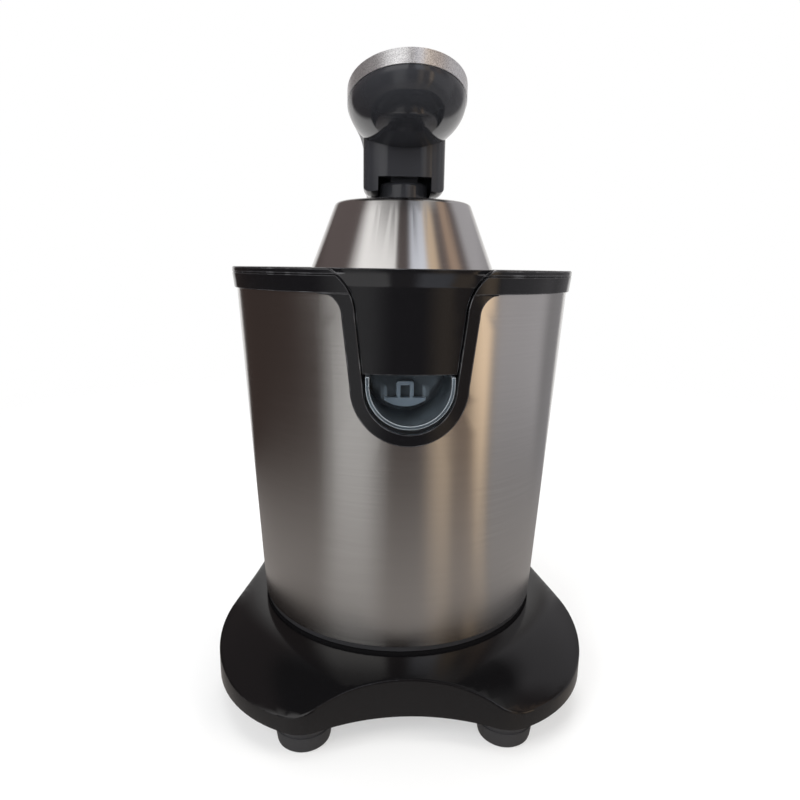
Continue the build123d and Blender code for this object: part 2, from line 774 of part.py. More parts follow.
with BuildPart() as output_shaft:
    add(rod(shaft_radius, cup_floor + shaft_end_gap, tower_top + shaft_shoulder))
    with BuildSketch(Plane.XY.offset(tower_top + shaft_shoulder)):
        RegularPolygon(hex_across / 2 / cos(pi / 6), 6)
    extrude(amount=spindle_top - tower_top - shaft_shoulder)

with BuildPart() as spindle_bushes:
    add(tube(bush_radius, shaft_radius + fit, gearbox_top - bush_step, gearbox_top + plate))
    add(tube(bush_radius, shaft_radius + fit, deck_bottom + bush_lift, tower_top - bush_recess))

with BuildPart() as shaft_seal:
    add(tube(tower_radius - seal_inset, shaft_radius + fit, tower_top, tower_top + seal_height))

with BuildPart() as thrust_cup:
    add(turned(
        (0, stub_bottom), (stub_radius, stub_bottom), (stub_radius, cup_bottom), (cup_radius, cup_bottom),
        (cup_radius, cup_top - flange_height), (flange_radius, cup_top - flange_height),
        (flange_radius, cup_top),
        (shaft_radius + fit, cup_top), (shaft_radius + fit, cup_floor), (0, cup_floor),
    ))

wire = 0.6
coil_gap = 1.5              # from the cup to the middle of the wire
coil_end_gap = 0.1
coil_turns = 3
coil_radius = cup_radius + coil_gap
coil_bottom = gearbox_floor + plate + wire + coil_end_gap
coil_height = cup_top - flange_height - wire - coil_end_gap - coil_bottom
with BuildPart() as return_spring:
    with BuildLine(Plane.XY.offset(coil_bottom)) as coil:
        Helix(pitch=coil_height / coil_turns, height=coil_height, radius=coil_radius)
    with BuildSketch(Plane(origin=coil.line @ 0, z_dir=coil.line % 0)):
        RegularPolygon(wire, 6)
    sweep(is_frenet=True)

# Start switch under the spindle
switch_length = 20.0
switch_depth = 6.4
switch_height = 9.6
button_reach = 2.6          # from the switch to the stub of the cup
button_radius = 1.6
button_depth = 5.0          # hole for the button
button_play = 0.4           # under the pressed button
button_gap = 0.1            # under the stub
tab_length = 5.0
tab_thickness = 0.8
tab_width = 4.8
tab_lift = 2.0
switch_top = stub_bottom - button_reach
switch_bottom = switch_top - switch_height
button_hole = switch_top - button_depth
with BuildPart() as switch_body:
    with BuildSketch(Plane.XY.offset(switch_bottom)):
        Rectangle(switch_length, switch_depth)
    extrude(amount=switch_top - switch_bottom)
    with BuildSketch(Plane.XY.offset(switch_bottom + tab_lift)):
        with GridLocations(switch_length + tab_length, 0, 2, 1):
            Rectangle(tab_length, tab_thickness)
    extrude(amount=tab_width)
    add(rod(button_radius + fit, button_hole, switch_top + past), mode=Mode.SUBTRACT)

with BuildPart() as switch_button:
    add(rod(button_radius, button_hole + press_travel + button_play, stub_bottom - button_gap))

# Gears, in mesh at rest
pressure_angle = 20.0       # of the teeth, in degrees
pressure = radians(pressure_angle)
backlash = 0.12
dedendum = 1.25             # in modules
full_tip = 1.0
short_tip = 0.8
root_step = 0.1             # foot of a flank above the root


def involute(angle):
    """Involute function of a pressure angle."""
    return tan(angle) - angle


def gear_outline(teeth, module, addendum, turn):
    """Spur gear outline with straight-sided steps along each involute flank, one tooth at turn degrees."""
    pitch = teeth * module / 2
    base = pitch * cos(pressure)
    root = pitch - dedendum * module
    tip = pitch + addendum * module
    half = (pi / 2 - backlash) / teeth + involute(pressure)
    flank = []
    flank_foot = max(base, root + root_step)
    for radius in (flank_foot, (max(base, root) + pitch) / 2, pitch, (pitch + tip) / 2, tip):
        flank.append((radius, half - involute(acos(min(1.0, base / radius)))))
    outline = []
    for tooth in range(teeth):
        middle = radians(turn) + 2 * pi * tooth / teeth
        foot = (flank[0][1] + pi / teeth) / 2
        steps = [(root, -foot)]
        steps += [(radius, -angle) for radius, angle in flank]
        steps += [(radius, angle) for radius, angle in reversed(flank)]
        steps += [(root, foot)]
        outline += [(radius * cos(middle + angle), radius * sin(middle + angle)) for radius, angle in steps]
    return outline


def gear(teeth, module, addendum, turn, x, y, bottom, top):
    """A spur gear blank with cut teeth about an upright axis."""
    with BuildPart() as piece:
        with BuildSketch(Plane((x, y, bottom))):
            with BuildLine():
                Polyline(*gear_outline(teeth, module, addendum, turn), close=True)
            make_face()
        extrude(amount=top - bottom)
    return piece.part


fast_centres = fast_module * (pinion_teeth + wheel_teeth) / 2
slow_centres = slow_module * (small_teeth + large_teeth) / 2
idler_y = (slow_centres**2 - fast_centres**2 + motor_offset**2) / (2 * motor_offset)
idler_x = sqrt(slow_centres**2 - idler_y**2)
to_idler = degrees(atan2(idler_y, idler_x))
motor_to_idler = degrees(atan2(idler_y - motor_offset, idler_x))
fast_lift = 2.0             # fast gears above the floor of the gearbox
pinion_spare = 0.5          # the pinion reaches this far under its wheel
gear_boss = 1.5             # hub of a gear above its teeth
web_inner = 13.0            # recess in the web of a gear
wheel_web = 19.0
wheel_web_depth = 2.5
large_web = 21.0
large_web_depth = 3.0
boss_gap = 0.1              # under the hub of the large gear
fast_bottom = gearbox_floor + plate + fast_lift
fast_top = fast_bottom + fast_face
pin_fit_radius = 3.0
pin_top = gearbox_top + plate

with BuildPart() as motor_pinion:
    foot = fast_bottom - pinion_spare
    add(gear(pinion_teeth, fast_module, full_tip, motor_to_idler, 0, motor_offset, foot, fast_top))
    add(rod(motor_shaft_radius + seat, foot - past, fast_top + past, 0, motor_offset), mode=Mode.SUBTRACT)

wheel_turn = motor_to_idler + 180 + 180 / wheel_teeth
small_turn = to_idler + 180
with BuildPart() as idler_gear:
    add(gear(wheel_teeth, fast_module, short_tip, wheel_turn, idler_x, idler_y, fast_bottom, fast_top))
    boss = slow_top + gear_boss
    add(gear(small_teeth, slow_module, full_tip, small_turn, idler_x, idler_y, fast_top, boss))
    under = fast_bottom - past
    add(rod(pin_fit_radius + fit, under, boss + past, idler_x, idler_y), mode=Mode.SUBTRACT)
    web = fast_bottom + wheel_web_depth
    add(tube(wheel_web, web_inner, under, web, idler_x, idler_y), mode=Mode.SUBTRACT)

large_turn = to_idler + 180 / large_teeth
with BuildPart() as output_gear:
    add(gear(large_teeth, slow_module, short_tip, large_turn, 0, 0, slow_bottom, slow_top))
    boss = slow_top + gear_boss
    add(rod(flange_radius, cup_top + boss_gap, boss))
    add(rod(shaft_radius + seat / 2, cup_top - past, boss + past), mode=Mode.SUBTRACT)
    add(tube(large_web, web_inner, slow_top - large_web_depth, slow_top + past), mode=Mode.SUBTRACT)

with BuildPart() as idler_pin:
    add(rod(pin_fit_radius, gearbox_floor, pin_top, idler_x, idler_y))

# Gearbox: a hull around the three gear axes
tooth_room = 2.0            # round the gears
pinion_spare_room = 2.5     # round the pinion
ear_hole = 14.0             # screw holes in the ears
post_radius = 5.0           # posts that carry the deck
switch_margin = 1.0         # the wall behind the switch is wider at each end
large_room = large_teeth * slow_module / 2 + slow_module + tooth_room
wheel_room = wheel_teeth * fast_module / 2 + fast_module + tooth_room
pinion_room = pinion_teeth * fast_module / 2 + fast_module + pinion_spare_room
ear_radius = 4.5


def ear_place(x, y, reach, angle):
    """Centre of a screw ear just outside a gear circle; the angles keep clear of the spout bay."""
    return x + (reach + ear_radius) * cos(radians(angle)), y + (reach + ear_radius) * sin(radians(angle))


ears = (
    ear_place(0, 0, large_room, 200),
    ear_place(0, 0, large_room, 310),
    ear_place(idler_x, idler_y, wheel_room, -10),
    ear_place(idler_x, idler_y, wheel_room, 70),
)


def gearbox_outline(grow):
    """Hull of the gear circles, grow outside them."""
    with BuildSketch() as outline:
        Circle(large_room + grow)
        with Locations((idler_x, idler_y)):
            Circle(wheel_room + grow)
        with Locations((0, motor_offset)):
            Circle(pinion_room + grow)
        make_hull()
    return outline.sketch_local


bolt_spread = 26.5
bolt_radius = 2.0
bolt_bite = 2.5             # the bolts go this far into the floor of the gearbox
motor_drop = 16.0           # motor under the gearbox
stator_top = gearbox_floor - motor_drop
stator_bottom = stator_top - stator_height
motor_bush_radius = 6.0

with BuildPart() as gearbox_housing:
    with BuildSketch(Plane.XY.offset(gearbox_floor)):
        add(gearbox_outline(gearbox_wall))
        with Locations(*ears):
            Circle(ear_radius)
    extrude(amount=gearbox_top - gearbox_floor)
    with BuildSketch(Plane.XY.offset(gearbox_floor + plate)):
        add(gearbox_outline(0.0))
    extrude(amount=gearbox_top, mode=Mode.SUBTRACT)
    add(rod(stator_radius, gearbox_floor, gearbox_floor + plate, 0, motor_offset))
    with BuildSketch(Plane.XY.offset(switch_bottom)):
        with Locations((0, -switch_depth / 2 - seat - plate / 2)):
            Rectangle(switch_length + 2 * switch_margin, plate)
    extrude(amount=gearbox_floor - switch_bottom + past)
    under, over = gearbox_floor - past, gearbox_floor + plate + past
    add(rod(stub_radius + fit, under, over), mode=Mode.SUBTRACT)
    add(rod(motor_bush_radius + seat, under, over, 0, motor_offset), mode=Mode.SUBTRACT)
    add(rod(pin_fit_radius + seat / 2, under, over, idler_x, idler_y), mode=Mode.SUBTRACT)
    for x in (-bolt_spread, bolt_spread):
        add(rod(bolt_radius + seat, under, gearbox_floor + bolt_bite, x, motor_offset), mode=Mode.SUBTRACT)
    for x, y in ears:
        add(rod(screw_radius + seat, gearbox_top - ear_hole, gearbox_top + past, x, y), mode=Mode.SUBTRACT)

with BuildPart() as gearbox_cover:
    with BuildSketch(Plane.XY.offset(gearbox_top)):
        add(gearbox_outline(gearbox_wall))
        with Locations(*ears):
            Circle(ear_radius)
    extrude(amount=plate)
    for x, y in tray_screw_places:
        hole = deck_bottom - screw_bite - 2 * past
        add(rod(post_radius, gearbox_top, deck_bottom, x, y))
        add(rod(screw_radius + seat, hole, deck_bottom + past, x, y), mode=Mode.SUBTRACT)
    under, over = gearbox_top - past, gearbox_top + plate + past
    add(rod(bush_radius + seat, under, over), mode=Mode.SUBTRACT)
    add(rod(pin_fit_radius + seat / 2, under, over, idler_x, idler_y), mode=Mode.SUBTRACT)
    for x, y in ears:
        add(rod(screw_radius + seat, under, over, x, y), mode=Mode.SUBTRACT)

with BuildPart() as gearbox_screws:
    for x, y in ears:
        add(screw(x, y, gearbox_top + plate, plate + screw_bite))

# Motor
window_y = 17.6
window_height = 8.4
window_half = 18.6
air_gap = 0.5               # between rotor and stator
bracket_drop = 20.0         # lower bracket under the stator
commutator_drop = 14.0
commutator_gap = 3.0        # between commutator and stator
commutator_radius = 9.0
brush_lift = 5.0            # middle of the brushes on the commutator
brush_width = 4.0
brush_height = 5.0
brush_length = 12.0
brush_gap = 0.3
holder_place = 18.0         # brush holders from the axis of the motor
holder_width = 9.0
holder_length = 14.0
holder_rise = 4.0           # holders above the middle of the brushes
bracket_vents = 6
bracket_vent_circle = 18.0
bracket_vent_radius = 3.5
bracket_vent_turn = 30
bush_proud = 0.5
bolt_end_gap = 0.5
spacer_radius = 4.0
shaft_recess = 0.5          # motor shaft inside its lower bush
bracket_bottom = stator_bottom - bracket_drop
commutator_bottom = stator_bottom - commutator_drop
brush_z = commutator_bottom + brush_lift

with BuildPart() as motor_stator:
    with BuildSketch(Plane((0, motor_offset, stator_bottom))):
        Circle(stator_radius)
        Circle(rotor_radius + air_gap, mode=Mode.SUBTRACT)
        with Locations((0, window_y), (0, -window_y)):
            Rectangle(2 * window_half, window_height, mode=Mode.SUBTRACT)
        with Locations((-bolt_spread, 0), (bolt_spread, 0)):
            Circle(bolt_radius + seat, mode=Mode.SUBTRACT)
    extrude(amount=stator_height)

coil_overhang = 6.0
winding_inset = 5.6         # field coils inside the ends of their windows
winding_width = 5.2
winding_slack = 0.8         # in the windows
winding_lift = 0.6          # over the ends of the stator
winding_corner = 6.0
winding_inner_corner = 1.0
with BuildPart() as field_coils:
    for side in (-1, 1):
        middle = (side * (window_half - winding_inset), motor_offset, (stator_bottom + stator_top) / 2)
        with BuildSketch(Plane(middle, x_dir=(0, 1, 0), z_dir=(side, 0, 0))):
            across = 2 * (window_y + window_height / 2) - winding_slack
            RectangleRounded(across, stator_height + 2 * coil_overhang, winding_corner)
            hole = 2 * (window_y - window_height / 2) + 2 * winding_slack
            RectangleRounded(hole, stator_height + winding_lift, winding_inner_corner, mode=Mode.SUBTRACT)
        extrude(amount=winding_width)

with BuildPart() as motor_bracket:
    with BuildSketch(Plane((0, motor_offset, bracket_bottom))):
        Circle(stator_radius)
        Circle(motor_bush_radius + seat, mode=Mode.SUBTRACT)
        with PolarLocations(bracket_vent_circle, bracket_vents, bracket_vent_turn):
            Circle(bracket_vent_radius, mode=Mode.SUBTRACT)
    extrude(amount=plate)
    for x in (-bolt_spread, bolt_spread):
        under, over = bracket_bottom - past, stator_bottom + past
        add(rod(2 * bolt_radius, bracket_bottom, stator_bottom, x, motor_offset))
        add(rod(bolt_radius + seat, under, over, x, motor_offset), mode=Mode.SUBTRACT)
    with BuildSketch(Plane((0, motor_offset, bracket_bottom + plate))):
        with Locations((0, holder_place), (0, -holder_place)):
            Rectangle(holder_width, holder_length)
    extrude(amount=brush_z + holder_rise - bracket_bottom - plate)
    with BuildSketch(Plane((0, motor_offset, brush_z - brush_height / 2 - seat))):
        with Locations((0, holder_place), (0, -holder_place)):
            Rectangle(brush_width + 2 * seat, holder_length + 2 * past)
    extrude(amount=brush_height + 2 * seat, mode=Mode.SUBTRACT)

with BuildPart() as carbon_brushes:
    brush_place = commutator_radius + brush_gap + brush_length / 2
    with BuildSketch(Plane((0, motor_offset, brush_z - brush_height / 2))):
        with Locations((0, brush_place), (0, -brush_place)):
            Rectangle(brush_width, brush_length)
    extrude(amount=brush_height)

with BuildPart() as motor_bushes:
    for bottom in (bracket_bottom, gearbox_floor):
        top = bottom + plate
        add(tube(motor_bush_radius, motor_shaft_radius + fit, bottom - bush_proud, top, 0, motor_offset))

with BuildPart() as motor_bolts:
    for x in (-bolt_spread, bolt_spread):
        length = gearbox_floor + bolt_bite - bolt_end_gap - bracket_bottom
        add(screw(x, motor_offset, bracket_bottom, length, bolt_radius, up=-1))

with BuildPart() as motor_spacers:
    for x in (-bolt_spread, bolt_spread):
        add(tube(spacer_radius, bolt_radius + seat, stator_top, gearbox_floor, x, motor_offset))

with BuildPart() as motor_shaft:
    add(rod(motor_shaft_radius, bracket_bottom + shaft_recess, fast_top, 0, motor_offset))

rotor_bore = motor_shaft_radius + seat / 2
rotor_inset = 1.0           # each end inside the stator
rotor_slots = 12
rotor_slot_inset = 2.5      # middle of a slot inside the edge of the rotor
rotor_slot_depth = 6.0
rotor_slot_width = 2.2
with BuildPart() as rotor_core:
    with BuildSketch(Plane((0, motor_offset, stator_bottom + rotor_inset))):
        Circle(rotor_radius)
        with PolarLocations(rotor_radius - rotor_slot_inset, rotor_slots):
            Rectangle(rotor_slot_depth, rotor_slot_width, mode=Mode.SUBTRACT)
        Circle(rotor_bore, mode=Mode.SUBTRACT)
    extrude(amount=stator_height - 2 * rotor_inset)

with BuildPart() as commutator:
    commutator_top = stator_bottom - commutator_gap
    add(tube(commutator_radius, rotor_bore, commutator_bottom, commutator_top, 0, motor_offset))

fan_radius = 21.5
fan_gap = 1.8               # disc of the fan under the gearbox
fan_disc = 1.4
fan_hub_radius = 7.0
fan_hub_gap = 2.0
fan_hub_height = 7.0
blade_count = 9
blade_drop = 8.0            # lower edge of the blades under the gearbox
blade_height = 5.0
blade_inset = 8.0           # middle of the blades inside the edge of the disc
blade_length = 15.0
blade_thickness = 1.4
blade_turn = 20
with BuildPart() as cooling_fan:
    disc_top = gearbox_floor - fan_gap
    hub_top = gearbox_floor - fan_hub_gap
    add(tube(fan_radius, rotor_bore, disc_top - fan_disc, disc_top, 0, motor_offset))
    add(tube(fan_hub_radius, rotor_bore, hub_top - fan_hub_height, hub_top, 0, motor_offset))
    with BuildSketch(Plane((0, motor_offset, gearbox_floor - blade_drop))):
        with PolarLocations(fan_radius - blade_inset, blade_count):
            Rectangle(blade_length, blade_thickness, rotation=blade_turn)
    extrude(amount=blade_height)

# Rear hinge
hinge_y = rim_radius + hinge_back
hinge_z = rim_height + hinge_gap + hinge_radius
ear_inner = heel_width / 2 + swing
bracket_half = ear_inner + cheek
bracket_reach = 18.0        # foot of the bracket under its lower screw
bracket_bend_drop = 14.0    # its rear face is upright above this far under the rim
bracket_foot_depth = 5.0    # its foot behind the steel
heel_room = 0.5             # slot for the heel under the rim
bracket_rim_gap = 0.3
bracket_lip_gap = 0.4
bracket_cut = 20.0          # cuts run this far past the bracket
head_sink = 3.0             # screw heads in the rear face
head_gap = 0.4              # round them
screw_end = 0.2             # the screws reach this far through the tray
pin_recess = 0.3
bracket_foot = notch_centre - bracket_reach
bracket_back = hinge_y + hinge_radius
bracket_bend = rim_height - bracket_bend_drop


def bracket_rear(z):
    """Rear face of the bracket, leaning out from its foot to the hinge."""
    foot = shell_radius(bracket_foot) + bracket_foot_depth
    return foot + (bracket_back - foot) * (z - bracket_foot) / (bracket_bend - bracket_foot)


with BuildPart() as hinge_bracket:
    with BuildSketch(Plane.YZ):
        with BuildLine():
            Polyline(
                (hinge_y - hinge_radius, hinge_z),
                (hinge_y - hinge_radius, rim_height),
                (shell_radius(bracket_foot) - hinge_radius, rim_height),
                (shell_radius(bracket_foot) - hinge_radius, bracket_foot),
                (bracket_rear(bracket_foot), bracket_foot),
                (bracket_back, bracket_bend),
                (bracket_back, hinge_z),
            )
            ThreePointArc(
                (bracket_back, hinge_z), (hinge_y, hinge_z + hinge_radius),
                (hinge_y - hinge_radius, hinge_z),
            )
        make_face()
    extrude(amount=bracket_half, both=True)
    with BuildSketch(Plane.XY.offset(rim_height - heel_room)):
        with Locations((0, hinge_y)):
            Rectangle(2 * ear_inner, 4 * hinge_radius)
    extrude(amount=3 * hinge_radius, mode=Mode.SUBTRACT)
    cut_foot = bracket_foot - bracket_cut
    cut_top = rim_height + bracket_lip_gap
    cut_rim = rim_radius + bracket_rim_gap
    add(turned(
        (0, cut_foot), (shell_radius(cut_foot) + seat, cut_foot),
        (shell_radius(shell_top) + seat, shell_top - past), (cut_rim, shell_top - past),
        (cut_rim, cut_top), (0, cut_top),
    ), mode=Mode.SUBTRACT)
    add(cross_rod(hinge_pin_radius + seat / 2, 2 * bracket_half, hinge_y, hinge_z), mode=Mode.SUBTRACT)
    add(bracket_holes.part, mode=Mode.SUBTRACT)
    for z in bracket_screw_z:
        with BuildSketch(Plane.XZ.offset(-bracket_rear(z) + head_sink)):
            with Locations((0, z)):
                Circle(2 * bracket_screw_radius + head_gap)
        extrude(amount=-bracket_cut, mode=Mode.SUBTRACT)

with BuildPart() as bracket_screws:
    for z in bracket_screw_z:
        head_y = bracket_rear(z) - head_sink
        with BuildSketch(Plane.XZ.offset(-head_y)):
            with Locations((0, z)):
                Circle(2 * bracket_screw_radius)
        extrude(amount=-screw_head)
        with BuildSketch(Plane.XZ.offset(-head_y)):
            with Locations((0, z)):
                Circle(bracket_screw_radius)
        extrude(amount=head_y - tray_radius(z) + tray_wall + screw_end)

with BuildPart() as hinge_pin:
    add(cross_rod(hinge_pin_radius, bracket_half - pin_recess, hinge_y, hinge_z))

# Lever: black arm with an egg-shaped handle, silver cover on top
lid_top = rim_height - lid_sink + lid_height
lid_pin_z = lid_top + pin_lift
nose_y = -nose_reach
bulb_y = nose_y + bulb_reach
bulb_lift = 43.6            # middle of the bulb above the lid
bulb_z = lid_top + bulb_lift
root_y = hinge_y - hinge_radius
root_lap = 4.0              # the cover starts this far in front of the heel
neck_lift = 4.3             # underside of the neck above the lid
neck_bottom = lid_top + neck_lift
neck_front = -17.5
arm_inset = 0.3             # the arm lies this far inside the edge of the cover


def top_line(inset):
    """Side view of the top of the lever, inset below it, from the hinge to the nose."""
    line = (
        (hinge_y + root_lap, hinge_z + 8), (root_y - root_lap, hinge_z + 26), (34, lid_top + 36.5),
        (0, lid_top + 45), (bulb_y, lid_top + 48.8), (nose_y - past, lid_top + 55),
    )
    return [(y, z - inset) for y, z in line]


def side_band(upper, lower):
    """A band of the lever in side view, between two insets below its top line, as a wide slab."""
    with BuildPart() as slab:
        with BuildSketch(Plane.YZ):
            with BuildLine():
                high = Spline(*top_line(upper))
                low = Spline(*top_line(lower))
                Line(high @ 0, low @ 0)
                Line(high @ 1, low @ 1)
            make_face()
        extrude(amount=handle_width, both=True)
    return slab.part


with BuildPart() as lever_cover:
    with BuildSketch(Plane.XY.offset(rim_height)):
        with BuildLine():
            Spline(
                (heel_width / 2, root_y - root_lap), (neck_width / 2 - 0.7, 38), (neck_width / 2 + 1, 20),
                (handle_width / 2, bulb_y), tangents=[(0.08, -1), (0, -1)],
            )
            EllipticalCenterArc((0, bulb_y), handle_width / 2, bulb_reach, start_angle=270, arc_size=90)
            mirror(about=Plane.YZ)
            Line((heel_width / 2, root_y - root_lap), (-heel_width / 2, root_y - root_lap))
        make_face()
    extrude(amount=3 * lid_height)
    add(side_band(0.0, cover_thickness), mode=Mode.INTERSECT)

with BuildPart() as bulb:
    Sphere(1)
    scale(by=(handle_width / 2 - arm_inset, bulb_reach - arm_inset, bulb_depth))

arm_stations = (            # y, underside, width, rounding of the lower edges
    (hinge_y - past, hinge_z - hinge_radius + 1.5, heel_width, 4.0),
    (root_y - root_lap, hinge_z - hinge_radius / 2, heel_width + 0.6, 6.0),
    (root_y - 22, lid_top - 10, 37.0, 8.0),
    (38, lid_top + 3.8, 40.4, 7.0),
    (12, neck_bottom, neck_width - 2 * arm_inset, 5.0),
    (-12, neck_bottom, neck_width - 2 * arm_inset, 5.0),
    (neck_front, neck_bottom + past, neck_width - 2 * arm_inset, 5.0),
)

arm_spare = 100.0           # the arm is made this much too high and cut to shape by the cover
arm_top = lid_top + 0.8 * arm_spare
pocket_half = 7.3
tongue_gap = 0.3            # each side of the tongue in its pocket
tongue_half = pocket_half - tongue_gap
tongue_depth = 8.0
tongue_crown = 7.5          # tongue above the pivot
pocket_play = 4.0           # pocket in front of the tongue and behind it
pocket_headroom = 3.0
pivot_recess = 1.0          # ends of the pivot inside the neck
tongue_top = lid_pin_z + tongue_crown
hub_sway = 1.4              # the hub moves this far to and fro as the lid swings
hub_rise = 1.8              # and its edge this far up

with BuildPart() as neck_plan:
    with BuildSketch(Plane.XY.offset(rim_height - hinge_radius)) as plan:
        with Locations((0, neck_front)):
            Rectangle(neck_width, 2 * hinge_y, align=(Align.CENTER, Align.MIN))
        fillet(plan.vertices().group_by(Axis.Y)[0], neck_corner)
    extrude(amount=2 * arm_spare)

with BuildPart() as lever_arm:
    for y, bottom, width, corner in arm_stations:
        half = width / 2
        with BuildSketch(Plane.XZ.offset(-y)):
            with BuildLine():
                Polyline(
                    (-half, bottom + corner), (-half, arm_top), (half, arm_top), (half, bottom + corner),
                )
                TangentArc((half, bottom + corner), (half - corner, bottom), tangent=(0, -1))
                Line((half - corner, bottom), (corner - half, bottom))
                TangentArc((-half, bottom + corner), (corner - half, bottom), tangent=(0, -1))
            make_face()
    loft()
    add(neck_plan.part, mode=Mode.INTERSECT)
    with Locations((0, bulb_y, bulb_z)):
        add(bulb.part, rotation=(-bulb_tilt, 0, 0))
    add(side_band(-arm_spare, cover_thickness), mode=Mode.SUBTRACT)
    add(cross_rod(hinge_radius, heel_width / 2, hinge_y, hinge_z))
    add(cross_rod(hinge_pin_radius + fit, heel_width, hinge_y, hinge_z), mode=Mode.SUBTRACT)
    with BuildSketch(Plane.XY.offset(lid_top)):
        Rectangle(2 * pocket_half, 2 * (tongue_depth + pocket_play))
    extrude(amount=tongue_top + pocket_headroom - lid_top, mode=Mode.SUBTRACT)
    with BuildSketch(Plane.XY.offset(lid_top)):
        SlotCenterToCenter(2 * hub_sway, 2 * (hub_radius + room), rotation=90)
        with Locations((0, -hub_radius)):
            Rectangle(2 * (hub_radius + room), 2 * hub_radius)
    extrude(amount=hub_height + hub_rise, mode=Mode.SUBTRACT)
    add(cross_rod(pin_radius + seat / 2, neck_width, 0, lid_pin_z), mode=Mode.SUBTRACT)

with BuildPart() as lid_pivot_pin:
    add(cross_rod(pin_radius, neck_width / 2 - pivot_recess, 0, lid_pin_z))

# Press lid: steel cone, plastic cup inside, hub on top
lid_rounding = 3.0          # top edge of the lid
cup_setback = 1.5           # edge of the cup inside the lid
cup_crown_drop = 5.0        # crown of the cup under the top of the lid
cup_corner = 6.0
cup_gap = 0.3               # between the cup and the steel
cup_edge = 3.0              # width of its edge
cup_bulge = 9.0             # its wall half way up
well_radius = 4.5           # for the head of the lid screw
well_depth = 0.6
hub_rounding = 2.0
hub_bore_depth = 7.0
lid_screw_reach = 5.0       # above the top of the lid
lid_bottom = rim_height - lid_sink
cup_rim = lid_bottom + cup_setback
cup_crown = lid_top - cup_crown_drop
with BuildPart() as press_lid:
    with BuildSketch(Plane.XZ):
        with BuildLine():
            Polyline(
                (0, lid_top), (lid_top_radius, lid_top), (lid_foot_radius, lid_bottom),
                (lid_foot_radius - lid_wall, lid_bottom), (lid_top_radius - lid_wall, lid_top - lid_wall),
                (0, lid_top - lid_wall), close=True,
            )
        lid_face = make_face()
        fillet(lid_face.vertices().group_by(Axis.Y)[-1].sort_by(Axis.X)[-1], lid_rounding)
        fillet(lid_face.vertices().group_by(Axis.Y)[-2].sort_by(Axis.X)[-1], lid_rounding - lid_wall)
    revolve(axis=Axis.Z)
    add(rod(screw_radius + seat, lid_bottom, lid_top + past), mode=Mode.SUBTRACT)


def lid_inside(z):
    """Inner radius of the steel lid at height z."""
    share = (z - lid_bottom) / lid_height
    return lid_foot_radius + share * (lid_top_radius - lid_foot_radius) - lid_wall


cup_roof = lid_top - lid_wall
cup_shoulder = lid_inside(lid_top - cup_corner) - cup_gap
cup_lip = lid_inside(cup_rim)
with BuildPart() as press_cup:
    with BuildSketch(Plane.XZ):
        with BuildLine():
            Polyline(
                (0, cup_crown), (0, cup_roof), (lid_top_radius - cup_corner, cup_roof),
                (cup_shoulder, lid_top - cup_corner), (cup_lip - cup_gap, cup_rim),
                (cup_lip - cup_edge, cup_rim),
            )
            Spline(
                (cup_lip - cup_edge, cup_rim), (cup_lip - cup_bulge, cup_rim + 0.5 * lid_height),
                (0, cup_crown), tangents=[(-0.1, 1), (-1, 0)],
            )
        make_face()
    revolve(axis=Axis.Z)
    add(rod(screw_radius + seat, lid_bottom, lid_top + past), mode=Mode.SUBTRACT)
    add(rod(well_radius, lid_bottom, cup_crown + well_depth), mode=Mode.SUBTRACT)

with BuildPart() as lid_hub:
    add(rod(hub_radius, lid_top, lid_top + hub_height))
    fillet(lid_hub.faces().sort_by(Axis.Z)[-1].edges(), hub_rounding)
    with BuildSketch(Plane.XY.offset(lid_top + past)):
        Rectangle(2 * tongue_half, 2 * tongue_depth)
    extrude(amount=lid_pin_z - lid_top - past)
    add(cross_rod(tongue_depth, tongue_half, 0, lid_pin_z))
    add(cross_rod(pin_radius + fit, neck_width, 0, lid_pin_z), mode=Mode.SUBTRACT)
    add(rod(screw_radius + seat, lid_top - past, lid_top + hub_bore_depth), mode=Mode.SUBTRACT)

with BuildPart() as lid_screw:
    add(screw(0, 0, cup_crown + well_depth, lid_top + lid_screw_reach - cup_crown, up=-1))

pieces = {
    "base_shell": base_shell, "base_cover": base_cover, "cover_screws": cover_screws,
    "rubber_feet": rubber_feet, "cord_inlet": cord_inlet, "shell_gasket": shell_gasket,
    "steel_shell": steel_shell, "top_collar": top_collar, "bowl_tray": bowl_tray,
    "tie_rods": tie_rods, "tray_screws": tray_screws, "juice_bowl": juice_bowl,
    "pulp_strainer": pulp_strainer, "clear_spout": clear_spout, "drip_gate": drip_gate,
    "reamer": reamer, "output_shaft": output_shaft, "spindle_bushes": spindle_bushes,
    "shaft_seal": shaft_seal, "thrust_cup": thrust_cup, "return_spring": return_spring,
    "switch_body": switch_body, "switch_button": switch_button, "motor_pinion": motor_pinion,
    "idler_gear": idler_gear, "idler_pin": idler_pin, "output_gear": output_gear,
    "gearbox_housing": gearbox_housing, "gearbox_cover": gearbox_cover,
    "gearbox_screws": gearbox_screws, "motor_stator": motor_stator, "field_coils": field_coils,
    "motor_bracket": motor_bracket, "carbon_brushes": carbon_brushes, "motor_bushes": motor_bushes,
    "motor_bolts": motor_bolts, "motor_spacers": motor_spacers, "motor_shaft": motor_shaft,
    "rotor_core": rotor_core, "commutator": commutator, "cooling_fan": cooling_fan,
    "hinge_bracket": hinge_bracket, "bracket_screws": bracket_screws, "hinge_pin": hinge_pin,
    "lever_cover": lever_cover, "lever_arm": lever_arm, "lid_pivot_pin": lid_pivot_pin,
    "press_lid": press_lid, "press_cup": press_cup, "lid_hub": lid_hub, "lid_screw": lid_screw,
}
for name, piece in pieces.items():
    piece.part.label = name
    export_step(piece.part, f"parts/{name}.step")
